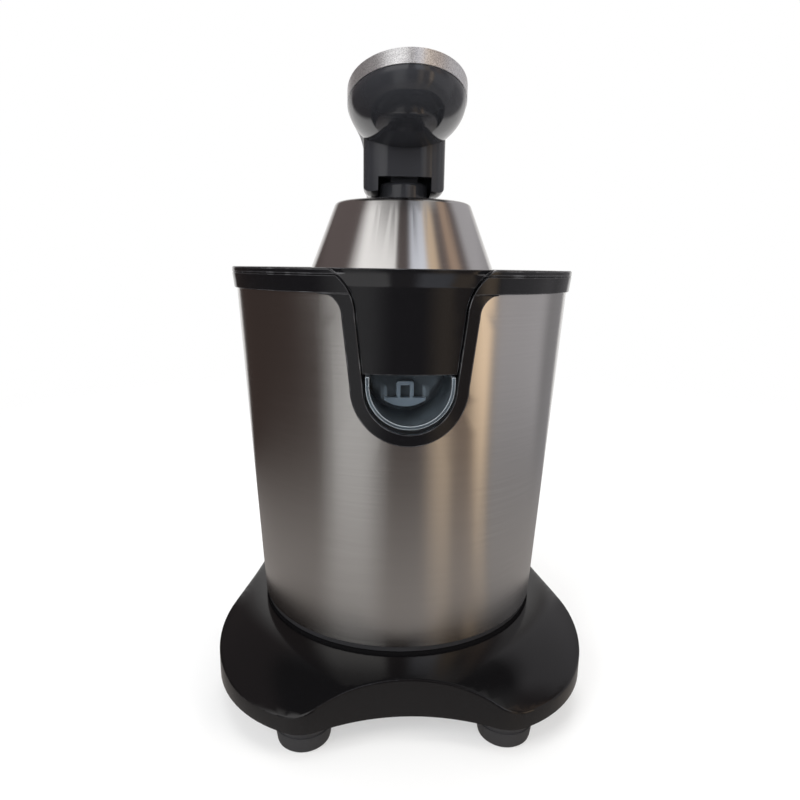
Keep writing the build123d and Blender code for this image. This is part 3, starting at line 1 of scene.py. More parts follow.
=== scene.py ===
# %% [markdown]
# # A lever citrus press in the studio
# The press comes in as a fixed set of solids: every piece already has its size and its place.
# This lesson gives those pieces their finishes, rounds what the solids leave sharp, adds the small
# things that only show close up, and sets up a camera and a plain studio.
# We start by loading the solids.

# %% Load the solids
import json
import math

import bmesh
import bpy
from mathutils import Matrix, Vector


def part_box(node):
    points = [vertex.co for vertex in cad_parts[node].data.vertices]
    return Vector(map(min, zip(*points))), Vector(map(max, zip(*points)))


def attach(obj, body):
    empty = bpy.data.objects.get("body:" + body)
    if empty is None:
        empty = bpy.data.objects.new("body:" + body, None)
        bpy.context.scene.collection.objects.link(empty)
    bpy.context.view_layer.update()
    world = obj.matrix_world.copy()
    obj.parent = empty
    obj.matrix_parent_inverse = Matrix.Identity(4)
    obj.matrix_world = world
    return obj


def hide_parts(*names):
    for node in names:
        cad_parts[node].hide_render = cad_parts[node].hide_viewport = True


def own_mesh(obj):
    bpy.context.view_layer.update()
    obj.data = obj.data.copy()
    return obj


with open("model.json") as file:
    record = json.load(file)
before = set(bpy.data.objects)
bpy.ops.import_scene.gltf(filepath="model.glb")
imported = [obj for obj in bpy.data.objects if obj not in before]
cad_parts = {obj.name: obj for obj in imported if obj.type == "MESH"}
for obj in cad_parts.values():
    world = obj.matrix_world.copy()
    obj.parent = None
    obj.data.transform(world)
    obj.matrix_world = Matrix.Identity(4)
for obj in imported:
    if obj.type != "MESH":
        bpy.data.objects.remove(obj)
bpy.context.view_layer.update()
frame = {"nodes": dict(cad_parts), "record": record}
nodes = frame["nodes"]
scene = bpy.context.scene
scene.view_settings.view_transform = "Standard"
MM = 0.001

# %% [markdown]
# ## Where the photographer stood
# The picture was taken from close by, with the lens level with the rim and tipped down by twelve
# degrees. That is why the rim looks like a straight line while the foot looks round.
# A camera can be placed by hand until it looks right, but here its place is worked out from the
# distance to the body, its height and three small angles, so each number has a meaning.

# %% Camera
IMAGE_SIDE = 800                # pixels
FOCAL_LENGTH = 620              # pixels
SENSOR = 36.0
CAMERA_DISTANCE = 347.3 * MM
CAMERA_HEIGHT = 219.45 * MM
CAMERA_SIDE = math.radians(2.97)     # the camera stands this far to the left of the spout
CAMERA_DOWN = math.radians(12.06)
CAMERA_ROLL = 0.0150            # radians
NEAREST = 0.01                  # metres; nothing closer is drawn

camera_data = bpy.data.cameras.new("camera")
camera_data.sensor_width = SENSOR
camera_data.lens = SENSOR * FOCAL_LENGTH / IMAGE_SIDE
camera_data.clip_start = NEAREST
camera = bpy.data.objects.new("camera", camera_data)
scene.collection.objects.link(camera)
camera.location = (
    -CAMERA_DISTANCE * math.sin(CAMERA_SIDE),
    -CAMERA_DISTANCE * math.cos(CAMERA_SIDE),
    CAMERA_HEIGHT,
)
aim = Matrix.Rotation(-CAMERA_SIDE, 3, "Z") @ Matrix.Rotation(math.pi / 2 - CAMERA_DOWN, 3, "X")
camera.rotation_euler = (aim @ Matrix.Rotation(CAMERA_ROLL, 3, "Z")).to_euler()
scene.camera = camera
print("camera lens:", round(camera_data.lens, 2), "mm at", tuple(round(v, 3) for v in camera.location))

# %% [markdown]
# ## A plain studio
# Glossy black plastic and brushed steel show little of their own: they show what stands around
# them. A studio therefore needs three things. A pale floor takes the shadow. Soft lamps from above
# and from both sides light the piece. A surround, which only reflections see, gives the steel its
# dark and light upright bands. The world is plain white behind it all.

# %% Small helpers for nodes
def new_node(tree, kind, **settings):
    """Adds a node and sets its plain settings and its unlinked inputs."""
    node = tree.nodes.new(kind)
    for key, value in settings.pop("inputs", {}).items():
        node.inputs[key].default_value = value
    for key, value in settings.items():
        setattr(node, key, value)
    return node


def link(tree, source, target):
    """Joins two sockets."""
    tree.links.new(source, target)


def bare_tree(owner):
    """Switches on the nodes of a world or a material and clears them."""
    owner.use_nodes = True
    owner.node_tree.nodes.clear()
    return owner.node_tree


print("node helpers ready")

# %% World
world = bpy.data.worlds.new("studio")
scene.world = world
tree = bare_tree(world)
SHADE_LEVEL = 0.42              # light from the walls on matt surfaces
rays = new_node(tree, "ShaderNodeLightPath")
camera_or_glossy = new_node(tree, "ShaderNodeMath", operation="MAXIMUM")
seen = new_node(tree, "ShaderNodeMath", operation="MAXIMUM")
strength = new_node(tree, "ShaderNodeMapRange", inputs={"To Min": SHADE_LEVEL, "To Max": 1.0})
background = new_node(tree, "ShaderNodeBackground", inputs={"Color": (1, 1, 1, 1)})
output = new_node(tree, "ShaderNodeOutputWorld")
link(tree, rays.outputs["Is Camera Ray"], camera_or_glossy.inputs[0])
link(tree, rays.outputs["Is Glossy Ray"], camera_or_glossy.inputs[1])
link(tree, camera_or_glossy.outputs[0], seen.inputs[0])
link(tree, rays.outputs["Is Transmission Ray"], seen.inputs[1])
link(tree, seen.outputs[0], strength.inputs["Value"])
link(tree, strength.outputs[0], background.inputs["Strength"])
link(tree, background.outputs[0], output.inputs["Surface"])
print("world: white behind, level", SHADE_LEVEL, "on matt surfaces")

# %% Floor
FLOOR_RADIUS = 1.6              # metres
FLOOR_STEPS = 96
FLOOR_COLOUR = (0.86, 0.86, 0.86, 1)
FADE_START = 0.35               # the floor melts into the white background between these radii
FADE_END = 0.95
FLOOR_GLOW = 0.45               # share of plain white that the camera sees in the floor


def mesh_object(name, shape):
    """Turns a bmesh into an object in the scene."""
    mesh = bpy.data.meshes.new(name)
    shape.to_mesh(mesh)
    shape.free()
    piece = bpy.data.objects.new(name, mesh)
    scene.collection.objects.link(piece)
    return piece


def spin(shape, points, centre, steps):
    """Turns a line of points once round an upright axis through centre."""
    line = [shape.verts.new(point) for point in points]
    edges = [shape.edges.new(pair) for pair in zip(line, line[1:])]
    bmesh.ops.spin(
        shape, geom=line + edges, cent=centre, axis=(0, 0, 1),
        angle=2 * math.pi, steps=steps, use_merge=True,
    )


shape = bmesh.new()
bmesh.ops.create_circle(shape, cap_ends=True, segments=FLOOR_STEPS, radius=FLOOR_RADIUS)
floor = mesh_object("floor", shape)
floor_finish = bpy.data.materials.new("pale_floor")
tree = bare_tree(floor_finish)
place = new_node(tree, "ShaderNodeTexCoord")
distance = new_node(tree, "ShaderNodeVectorMath", operation="LENGTH")
fade = new_node(tree, "ShaderNodeMapRange", inputs={"From Min": FADE_START, "From Max": FADE_END})
rays = new_node(tree, "ShaderNodeLightPath")
lift = new_node(tree, "ShaderNodeMath", operation="MULTIPLY", inputs={1: FLOOR_GLOW})
matt = new_node(tree, "ShaderNodeBsdfDiffuse", inputs={"Color": FLOOR_COLOUR})
glow = new_node(tree, "ShaderNodeEmission", inputs={"Color": (1, 1, 1, 1), "Strength": 1.0})
clear = new_node(tree, "ShaderNodeBsdfTransparent")
lifted = new_node(tree, "ShaderNodeMixShader")
faded = new_node(tree, "ShaderNodeMixShader")
output = new_node(tree, "ShaderNodeOutputMaterial")
link(tree, place.outputs["Object"], distance.inputs[0])
link(tree, distance.outputs["Value"], fade.inputs["Value"])
link(tree, rays.outputs["Is Camera Ray"], lift.inputs[0])
link(tree, lift.outputs[0], lifted.inputs[0])
link(tree, matt.outputs[0], lifted.inputs[1])
link(tree, glow.outputs[0], lifted.inputs[2])
link(tree, fade.outputs[0], faded.inputs[0])
link(tree, lifted.outputs[0], faded.inputs[1])
link(tree, clear.outputs[0], faded.inputs[2])
link(tree, faded.outputs[0], output.inputs["Surface"])
floor.data.materials.append(floor_finish)
print("floor radius:", FLOOR_RADIUS, "m")

# %% Lamps
def soft_lamp(name, place, target, size, power, colour=(1, 1, 1)):
    """A square area lamp that faces a point."""
    data = bpy.data.lights.new(name, "AREA")
    data.size = size
    data.energy = power
    data.color = colour
    lamp = bpy.data.objects.new(name, data)
    scene.collection.objects.link(lamp)
    lamp.location = place
    lamp.rotation_euler = (Vector(target) - Vector(place)).to_track_quat("-Z", "Y").to_euler()
    lamp.visible_glossy = False
    return lamp


MIDDLE = (0, 0, 0.16)
soft_lamp("lamp_left", (-1.0, -0.9, 1.1), MIDDLE, 0.8, 14)
soft_lamp("lamp_right", (1.1, -0.6, 0.9), MIDDLE, 0.7, 7, (1.0, 0.95, 0.88))
soft_lamp("lamp_front", (-0.25, -1.4, 0.4), MIDDLE, 0.6, 10)
soft_lamp("lamp_top", (0.0, 0.1, 1.4), MIDDLE, 1.0, 9)
soft_lamp("lamp_back", (0.3, 1.2, 0.9), MIDDLE, 0.8, 8)

# %% [markdown]
# ## What the gloss sees
# Brushed steel and black gloss mostly show the room. A ring of separate cards would give hard
# stripes, so one surround is turned instead: table, wall and ceiling in a single spin, with a colour
# on each corner. It is a dark room with a few soft lights in it, as in a studio: windows, lamps and
# pale walls, each given by where it starts and ends round the press and by how softly it fades.
# Only reflections see it: the light on matt surfaces comes from the lamps and the world.

# %% Surround for the reflections
DAYLIGHT = Vector((1.0, 0.985, 0.975))
SKYLIGHT = Vector((0.88, 0.91, 1.0))
LAMPLIGHT = Vector((1.0, 0.76, 0.53))
PLASTER = Vector((0.95, 0.92, 0.95))
WOOD = Vector((1.0, 0.72, 0.54))
TABLE = (Vector((0.052, 0.038, 0.034)), (   # unlit colour, then lights:
    (-35, -25, 22, 22, DAYLIGHT * 0.58),    # degrees right of the camera, fade left and right, colour
    (28, 30, 16, 12, LAMPLIGHT * 0.57),
    (40, 50, 10, 6, WOOD * 0.2),
    (66, 140, 10, 8, PLASTER * 0.28),
    (55, 57, 8, 7, LAMPLIGHT * 0.62),
    (147, 213, 7, 7, DAYLIGHT * 0.9),
))
FAR_TABLE = (TABLE[0], TABLE[1] + (
    (68, 104, 10, 16, PLASTER * 0.5),
    (55, 57, 8, 7, LAMPLIGHT * 1.4),
))
WALL = (Vector((0.14, 0.115, 0.112)), (
    (-55, -11, 26, 5, DAYLIGHT * 1.22),
    (17, 28, 11, 26, SKYLIGHT * 1.05),
    (40, 46, 8, 11, LAMPLIGHT * 0.76),
    (73, 77, 11, 12, WOOD * 0.46),
    (105, 145, 16, 8, PLASTER * 0.5),
    (170, 190, 30, 30, DAYLIGHT * 0.85),
))
CEILING = (Vector((0.03, 0.03, 0.03)), (
    (40, 67, 10, 40, DAYLIGHT * 0.42),
    (160, 200, 40, 40, DAYLIGHT * 0.16),
))
NEAR_TABLE = Vector((0.36, 0.335, 0.32))     # close to the foot all reflections blur together
PROFILE = (                     # radius, height, share of the near table, part of the room
    (0.09, 0.0004, 0.95, TABLE),
    (0.22, 0.0004, 0.70, TABLE),
    (0.42, 0.0004, 0.0, TABLE),
    (0.65, 0.0004, 0.0, FAR_TABLE),
    (1.15, 0.0004, 0.0, FAR_TABLE),
    (1.15, 0.30, 0.0, FAR_TABLE),
    (1.15, 0.65, 0.0, WALL),
    (1.15, 1.35, 0.0, WALL),
    (1.10, 1.60, 0.0, CEILING),
    (0.02, 1.80, 0.0, CEILING),
)
SURROUND_STEPS = 240


def soft_edge(away, fade):
    """1 on a light, falling smoothly to 0 at fade degrees away from it."""
    share = min(max(away / fade, 0.0), 1.0)
    return 1 - share * share * (3 - 2 * share)


def room_colour(part, angle):
    """Colour of the room at an angle from the camera, each light laid over the ones before it."""
    colour, lights = part
    for start, end, left, right, light in lights:
        turned = angle + 360 if angle < start - left else angle
        colour = colour.lerp(light, soft_edge(start - turned, left) * soft_edge(turned - end, right))
    return colour


shape = bmesh.new()
spin(shape, [(0, -radius, height) for radius, height, _, _ in PROFILE], (0, 0, 0), SURROUND_STEPS)
glow_layer = shape.verts.layers.float_color.new("glow")
for vert in shape.verts:
    radius = vert.co.xy.length
    row = min(PROFILE, key=lambda r: abs(r[0] - radius) + abs(r[1] - vert.co.z))
    angle = math.degrees(math.atan2(vert.co.x, -vert.co.y) + CAMERA_SIDE)
    colour = room_colour(row[3], (angle + 180) % 360 - 180).lerp(NEAR_TABLE, row[2])
    vert[glow_layer] = (*colour, 1)
surround = mesh_object("surround", shape)
surround.visible_camera = False
surround.visible_diffuse = False
surround.visible_transmission = False
surround.visible_shadow = False
surround.visible_volume_scatter = False

surround_glow = bpy.data.materials.new("surround_glow")
tree = bare_tree(surround_glow)
corner_colour = new_node(tree, "ShaderNodeAttribute", attribute_name="glow")
glow = new_node(tree, "ShaderNodeEmission", inputs={"Strength": 1.0})
output = new_node(tree, "ShaderNodeOutputMaterial")
link(tree, corner_colour.outputs["Color"], glow.inputs["Color"])
link(tree, glow.outputs[0], output.inputs["Surface"])
surround.data.materials.append(surround_glow)
print("surround corners:", len(surround.data.vertices))

# %% [markdown]
# ## Effects that several finishes share
# Real surfaces vary a little everywhere: moulded plastic has a faint waviness and fine dust, brushed
# steel has lines that run round the body, and anything that is touched has dull patches.
# Each of these is one node group with named inputs, so a finish only says how much it wants.

# %% Node groups
def new_group(name, inputs, outputs):
    """An empty shader node group with float inputs and outputs; returns its tree and its two end nodes."""
    group = bpy.data.node_groups.new(name, "ShaderNodeTree")
    for socket, value in inputs:
        made = group.interface.new_socket(socket, in_out="INPUT", socket_type="NodeSocketFloat")
        made.default_value = value
    for socket in outputs:
        group.interface.new_socket(socket, in_out="OUTPUT", socket_type="NodeSocketFloat")
    return group, new_node(group, "NodeGroupInput"), new_node(group, "NodeGroupOutput")


def noise(group, vector, scale, detail=2.0, roughness=0.5):
    """A noise texture on a vector; scale is a number or a socket."""
    texture = new_node(group, "ShaderNodeTexNoise", inputs={"Detail": detail, "Roughness": roughness})
    link(group, vector, texture.inputs["Vector"])
    if isinstance(scale, (int, float)):
        texture.inputs["Scale"].default_value = scale
    else:
        link(group, scale, texture.inputs["Scale"])
    return texture.outputs["Fac"]


grain_group, ins, outs = new_group("moulded_grain", [("Grain Scale", 2500.0)], ["Height", "Grain"])
place = new_node(grain_group, "ShaderNodeTexCoord")
fine = noise(grain_group, place.outputs["Object"], ins.outputs["Grain Scale"], 3.0, 0.6)
wave = noise(grain_group, place.outputs["Object"], 40.0, 1.0)
both = new_node(grain_group, "ShaderNodeMath", operation="MULTIPLY_ADD", inputs={1: 0.5})
link(grain_group, wave, both.inputs[0])
link(grain_group, fine, both.inputs[2])
link(grain_group, both.outputs[0], outs.inputs["Height"])
link(grain_group, fine, outs.inputs["Grain"])

brush_group, ins, outs = new_group("turned_brushing", [("Lines", 2600.0)], ["Height", "Streak"])
place = new_node(brush_group, "ShaderNodeTexCoord")
split = new_node(brush_group, "ShaderNodeSeparateXYZ")
flat = new_node(brush_group, "ShaderNodeCombineXYZ")
around = new_node(brush_group, "ShaderNodeVectorMath", operation="NORMALIZE")
ring = new_node(brush_group, "ShaderNodeSeparateXYZ")
rise = new_node(brush_group, "ShaderNodeMath", operation="MULTIPLY")
spread = new_node(brush_group, "ShaderNodeCombineXYZ")
link(brush_group, place.outputs["Object"], split.inputs[0])
link(brush_group, split.outputs["X"], flat.inputs["X"])
link(brush_group, split.outputs["Y"], flat.inputs["Y"])
link(brush_group, flat.outputs[0], around.inputs[0])
link(brush_group, around.outputs[0], ring.inputs[0])
link(brush_group, ring.outputs["X"], spread.inputs["X"])
link(brush_group, ring.outputs["Y"], spread.inputs["Y"])
link(brush_group, split.outputs["Z"], rise.inputs[0])
link(brush_group, ins.outputs["Lines"], rise.inputs[1])
link(brush_group, rise.outputs[0], spread.inputs["Z"])
lines = noise(brush_group, spread.outputs[0], 1.7, 4.0, 0.65)
link(brush_group, lines, outs.inputs["Height"])
link(brush_group, lines, outs.inputs["Streak"])

touch_group, ins, outs = new_group("touch_marks", [("Size", 22.0)], ["Marks"])
place = new_node(touch_group, "ShaderNodeTexCoord")
patches = noise(touch_group, place.outputs["Object"], ins.outputs["Size"], 4.0, 0.55)
spread = new_node(touch_group, "ShaderNodeMapRange", inputs={"From Min": 0.48, "From Max": 0.72})
link(touch_group, patches, spread.inputs["Value"])
link(touch_group, spread.outputs[0], outs.inputs["Marks"])

flake_group, ins, outs = new_group("paint_flakes", [("Size", 2400.0)], ["Flake"])
place = new_node(flake_group, "ShaderNodeTexCoord")
cells = new_node(flake_group, "ShaderNodeTexVoronoi", feature="F1")
tint = new_node(flake_group, "ShaderNodeSeparateColor")
link(flake_group, place.outputs["Object"], cells.inputs["Vector"])
link(flake_group, ins.outputs["Size"], cells.inputs["Scale"])
link(flake_group, cells.outputs["Color"], tint.inputs[0])
link(flake_group, tint.outputs[0], outs.inputs["Flake"])
print("groups:", [g.name for g in bpy.data.node_groups])

# %% [markdown]
# ## The finishes
# Every finish is one Principled shader. What is the same all over the surface is a plain number on
# the shader itself; what varies comes from the groups above and only drives the roughness, the
# colour and the bump.

# %% Finish helper
class Finish:
    """A material with a Principled shader, and short ways to vary its sockets."""

    def __init__(self, name, colour, roughness, **constants):
        self.material = bpy.data.materials.new(name)
        self.material.use_nodes = True
        self.tree = self.material.node_tree
        self.shader = self.tree.nodes["Principled BSDF"]
        self.shader.inputs["Base Color"].default_value = (*colour, 1)
        self.shader.inputs["Roughness"].default_value = roughness
        for socket, value in constants.items():
            self.shader.inputs[socket.replace("_", " ").title().replace("Ior", "IOR")].default_value = value

    def group(self, source, **inputs):
        """Adds a shared effect with its own inputs."""
        node = new_node(self.tree, "ShaderNodeGroup", node_tree=source)
        for key, value in inputs.items():
            node.inputs[key.replace("_", " ").title()].default_value = value
        return node

    def vary(self, target, socket, low, high):
        """Lets an effect move a socket of the shader between two numbers."""
        spread = new_node(self.tree, "ShaderNodeMapRange", inputs={"To Min": low, "To Max": high})
        link(self.tree, socket, spread.inputs["Value"])
        link(self.tree, spread.outputs[0], self.shader.inputs[target])

    def vary_roughness(self, socket, low, high):
        """Lets an effect move the roughness."""
        self.vary("Roughness", socket, low, high)

    def vary_colour(self, socket, low, high):
        """Lets an effect move the colour between two tones."""
        mix = new_node(self.tree, "ShaderNodeMix", data_type="RGBA")
        mix.inputs["A"].default_value = (*low, 1)
        mix.inputs["B"].default_value = (*high, 1)
        link(self.tree, socket, mix.inputs["Factor"])
        link(self.tree, mix.outputs["Result"], self.shader.inputs["Base Color"])

    def bump(self, socket, depth, strength=1.0):
        """Lets an effect raise the surface by a depth in metres."""
        bump = new_node(self.tree, "ShaderNodeBump", inputs={"Strength": strength, "Distance": depth})
        link(self.tree, socket, bump.inputs["Height"])
        link(self.tree, bump.outputs[0], self.shader.inputs["Normal"])


print("finish helper ready")

# %% Black plastics
gloss_black = Finish("gloss_black", (0.0050, 0.0050, 0.0058), 0.08, specular_ior_level=0.36)
marks = gloss_black.group(touch_group, size=26.0)
grain = gloss_black.group(grain_group, grain_scale=900.0)
gloss_black.vary_roughness(marks.outputs["Marks"], 0.05, 0.13)
gloss_black.bump(grain.outputs["Height"], 0.00002, 0.4)

lever_black = Finish("lever_black", (0.026, 0.027, 0.031), 0.1)
marks = lever_black.group(touch_group, size=30.0)
grain = lever_black.group(grain_group, grain_scale=900.0)
lever_black.vary_roughness(marks.outputs["Marks"], 0.06, 0.15)
lever_black.bump(grain.outputs["Height"], 0.00002, 0.4)

# Edge finish for the black plastics: lighter than the faces, partly wear along the touch marks and partly a
# painted highlight on the rounded edges.
highlit_rubbed_edge = Finish("highlit_rubbed_edge", (0.03, 0.03, 0.033), 0.2)
marks = highlit_rubbed_edge.group(touch_group, size=120.0)
highlit_rubbed_edge.vary_colour(marks.outputs["Marks"], (0.02, 0.02, 0.022), (0.09, 0.09, 0.095))
highlit_rubbed_edge.vary_roughness(marks.outputs["Marks"], 0.12, 0.26)

satin_black = Finish("satin_black", (0.0038, 0.0036, 0.0040), 0.13)
marks = satin_black.group(touch_group, size=18.0)
grain = satin_black.group(grain_group, grain_scale=2600.0)
satin_black.vary_roughness(marks.outputs["Marks"], 0.09, 0.17)
satin_black.bump(grain.outputs["Height"], 0.00002, 0.3)

matt_black = Finish("matt_black", (0.012, 0.012, 0.013), 0.5)
grain = matt_black.group(grain_group, grain_scale=2200.0)
matt_black.vary_roughness(grain.outputs["Grain"], 0.42, 0.62)
matt_black.bump(grain.outputs["Height"], 0.00006, 0.7)

rubber = Finish("dark_rubber", (0.02, 0.02, 0.022), 0.6)
grain = rubber.group(grain_group, grain_scale=1800.0)
rubber.vary_colour(grain.outputs["Grain"], (0.012, 0.012, 0.013), (0.03, 0.03, 0.033))
rubber.vary_roughness(grain.outputs["Grain"], 0.5, 0.75)
rubber.bump(grain.outputs["Height"], 0.00008, 0.8)
print("black finishes ready")

# %% Metals
steel = Finish(
    "brushed_steel", (0.6, 0.59, 0.575), 0.24, metallic=1.0, anisotropic=0.9, anisotropic_rotation=0.25,
)
brushing = steel.group(brush_group, lines=2600.0)
steel.vary_colour(brushing.outputs["Streak"], (0.53, 0.52, 0.505), (0.68, 0.67, 0.655))
steel.vary_roughness(brushing.outputs["Streak"], 0.19, 0.29)
steel.bump(brushing.outputs["Height"], 0.00001, 0.4)

lid_steel = Finish(
    "lid_steel", (0.66, 0.65, 0.64), 0.17, metallic=1.0, anisotropic=0.8, anisotropic_rotation=0.25,
)
brushing = lid_steel.group(brush_group, lines=3400.0)
lid_steel.vary_colour(brushing.outputs["Streak"], (0.6, 0.59, 0.58), (0.71, 0.70, 0.69))
lid_steel.vary_roughness(brushing.outputs["Streak"], 0.13, 0.21)
lid_steel.bump(brushing.outputs["Height"], 0.000008, 0.35)

silver = Finish("satin_silver", (0.5, 0.5, 0.51), 0.36, metallic=0.9, coat_weight=0.25)
flakes = silver.group(flake_group, size=3200.0)
silver.vary_colour(flakes.outputs["Flake"], (0.52, 0.52, 0.53), (0.95, 0.95, 0.96))
silver.vary_roughness(flakes.outputs["Flake"], 0.28, 0.42)
silver.bump(flakes.outputs["Flake"], 0.00004, 0.5)

bright_steel = Finish("bright_steel", (0.6, 0.6, 0.61), 0.22, metallic=1.0)
brushing = bright_steel.group(brush_group, lines=3600.0)
bright_steel.vary_roughness(brushing.outputs["Streak"], 0.16, 0.34)

bronze = Finish("sintered_bronze", (0.55, 0.38, 0.17), 0.42, metallic=1.0)
grain = bronze.group(grain_group, grain_scale=3000.0)
bronze.vary_colour(grain.outputs["Grain"], (0.42, 0.28, 0.12), (0.62, 0.45, 0.22))
bronze.bump(grain.outputs["Height"], 0.00005, 0.6)

iron = Finish("stacked_iron", (0.27, 0.26, 0.25), 0.5, metallic=1.0)
brushing = iron.group(brush_group, lines=1500.0)
iron.vary_colour(brushing.outputs["Streak"], (0.14, 0.135, 0.13), (0.36, 0.35, 0.34))
iron.bump(brushing.outputs["Height"], 0.0001, 0.8)

copper = Finish("wound_copper", (0.6, 0.28, 0.14), 0.35, metallic=1.0)
brushing = copper.group(brush_group, lines=900.0)
copper.vary_colour(brushing.outputs["Streak"], (0.4, 0.16, 0.07), (0.72, 0.38, 0.2))
copper.bump(brushing.outputs["Height"], 0.0002, 0.8)
print("metals ready")

# %% Clear, pale and technical plastics
clear_plastic = Finish("clear_plastic", (0.55, 0.68, 0.80), 0.08)
marks = clear_plastic.group(touch_group, size=40.0)
clear_plastic.vary_roughness(marks.outputs["Marks"], 0.05, 0.16)
clear_plastic.vary("Alpha", marks.outputs["Marks"], 0.05, 0.15)

RIM_HIGHLIGHT_START = -0.070              # the spout's edges are made more opaque between these places along Y, a painted highlight
RIM_HIGHLIGHT_END = -0.080
# A painted highlight: the spout's rounded edges turn paler and more opaque towards its front rim, standing
# for light caught in the edges.
clear_rim_highlight = Finish("clear_rim_highlight", (0.62, 0.67, 0.72), 0.12, coat_weight=0.6)
marks = clear_rim_highlight.group(touch_group, size=90.0)
clear_rim_highlight.vary_roughness(marks.outputs["Marks"], 0.1, 0.25)
place = new_node(clear_rim_highlight.tree, "ShaderNodeTexCoord")
split = new_node(clear_rim_highlight.tree, "ShaderNodeSeparateXYZ")
lip = new_node(clear_rim_highlight.tree, "ShaderNodeMapRange", inputs={"From Min": RIM_HIGHLIGHT_START, "From Max": RIM_HIGHLIGHT_END})
link(clear_rim_highlight.tree, place.outputs["Object"], split.inputs[0])
link(clear_rim_highlight.tree, split.outputs["Y"], lip.inputs["Value"])
clear_rim_highlight.vary("Alpha", lip.outputs[0], 0.06, 0.45)

# The colour is darker than the real pale plastic: painted shade for the drip gate, which sits in the shaded
# spout recess; the switch button shares it.
pale_plastic = Finish("pale_plastic", (0.20, 0.255, 0.31), 0.3, subsurface_weight=0.3)
pale_plastic.shader.inputs["Subsurface Radius"].default_value = (0.002, 0.0025, 0.003)
grain = pale_plastic.group(grain_group, grain_scale=1500.0)
pale_plastic.vary_roughness(grain.outputs["Grain"], 0.24, 0.42)

nylon = Finish("gear_nylon", (0.74, 0.71, 0.63), 0.45, subsurface_weight=0.15)
nylon.shader.inputs["Subsurface Radius"].default_value = (0.002, 0.002, 0.0015)
grain = nylon.group(grain_group, grain_scale=1400.0)
nylon.vary_roughness(grain.outputs["Grain"], 0.38, 0.58)

gearbox_plastic = Finish("gearbox_plastic", (0.085, 0.085, 0.095), 0.55)
grain = gearbox_plastic.group(grain_group, grain_scale=1600.0)
gearbox_plastic.vary_colour(grain.outputs["Grain"], (0.06, 0.06, 0.068), (0.12, 0.12, 0.13))
gearbox_plastic.bump(grain.outputs["Height"], 0.0001, 0.7)

carbon = Finish("pressed_carbon", (0.025, 0.025, 0.027), 0.6)
grain = carbon.group(grain_group, grain_scale=2400.0)
carbon.vary_colour(grain.outputs["Grain"], (0.015, 0.015, 0.016), (0.05, 0.05, 0.053))
print("materials:", len(bpy.data.materials))

# %% [markdown]
# ## Dressing the solids
# Each solid gets the finish of the real piece. Solids are stored as loose triangles, which would
# show as facets on anything glossy, so the pieces that can be seen get a twin: a merged copy with
# smooth shading and a hair-fine bevel on its sharp edges. Faces that run round as rings are cut into
# triangles first, because rounding both edges of a narrow ring can make its outline cross itself.
# The twin rides on the same body and stands for the solid.

# %% Finish of each solid
FINISHES = (
    (satin_black, ["base_shell"]),
    (gloss_black, ["top_collar", "juice_bowl", "reamer"]),
    (lever_black, ["lever_arm", "lid_hub", "hinge_bracket"]),
    (matt_black, ["bowl_tray", "base_cover", "cord_inlet", "press_cup", "switch_body"]),
    (steel, ["steel_shell", "pulp_strainer"]),
    (lid_steel, ["press_lid"]),
    (silver, ["lever_cover"]),
    (clear_plastic, ["clear_spout"]),
    (pale_plastic, ["drip_gate", "switch_button"]),
    (rubber, ["rubber_feet", "shell_gasket", "shaft_seal"]),
    (bright_steel, [
        "cover_screws", "tie_rods", "tray_screws", "output_shaft", "return_spring", "idler_pin",
        "gearbox_screws", "motor_bolts", "motor_spacers", "motor_shaft", "bracket_screws", "hinge_pin",
        "lid_pivot_pin", "lid_screw",
    ]),
    (bronze, ["spindle_bushes", "motor_bushes", "motor_pinion"]),
    (nylon, ["idler_gear", "output_gear", "thrust_cup", "cooling_fan"]),
    (gearbox_plastic, ["gearbox_housing", "gearbox_cover", "motor_bracket"]),
    (iron, ["motor_stator", "rotor_core"]),
    (copper, ["field_coils", "commutator"]),
    (carbon, ["carbon_brushes"]),
)
finish_of = {}
for finish, names in FINISHES:
    for name in names:
        nodes[name].data.materials.clear()
        nodes[name].data.materials.append(finish.material)
        finish_of[name] = finish
print("dressed:", len(finish_of), "of", len(nodes))

# %% Smooth twins
body_of = {node: body for body, members in frame["record"]["behaviour"]["bodies"].items() for node in members}
MERGE = 2e-6                    # metres; corners this close are one
FLATNESS = math.radians(0.4)    # faces that turn by less become one face
CREASE = math.radians(28)       # edges that turn by more stay sharp
MANY_CORNERS = 12               # a face with more is a ring or a curved strip


def shade_smooth(shape):
    """Smooth faces, with the creased edges left sharp."""
    for face in shape.faces:
        face.smooth = True
    for edge in shape.edges:
        edge.smooth = edge.is_manifold and edge.calc_face_angle(math.pi) < CREASE


def merged_copy(node):
    """A copy of a solid with its triangles joined up and its flat faces made whole."""
    shape = bmesh.new()
    shape.from_mesh(nodes[node].data)
    bmesh.ops.remove_doubles(shape, verts=shape.verts, dist=MERGE)
    bmesh.ops.dissolve_limit(shape, angle_limit=FLATNESS, verts=shape.verts, edges=shape.edges)
    shade_smooth(shape)
    return shape


def stand_for(piece, node):
    """Lets a piece ride on the body of a solid and stand for it."""
    piece.data.materials.append(finish_of[node].material)
    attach(piece, body_of[node])
    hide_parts(node)


# Rounded edges take these finishes: a lighter black that is part wear and part painted highlight, and on the
# clear spout a paler, more opaque rim that is a painted highlight.
EDGE_FINISHES = {
    gloss_black: highlit_rubbed_edge, lever_black: highlit_rubbed_edge, satin_black: highlit_rubbed_edge,
    clear_plastic: clear_rim_highlight,
}
FREE_EDGES = ("top_collar", "juice_bowl", "clear_spout")    # short edges don't limit the rounding here
BEVEL_STEPS = 2
EDGE_SLOT = 1                   # material slot of the rounded edges


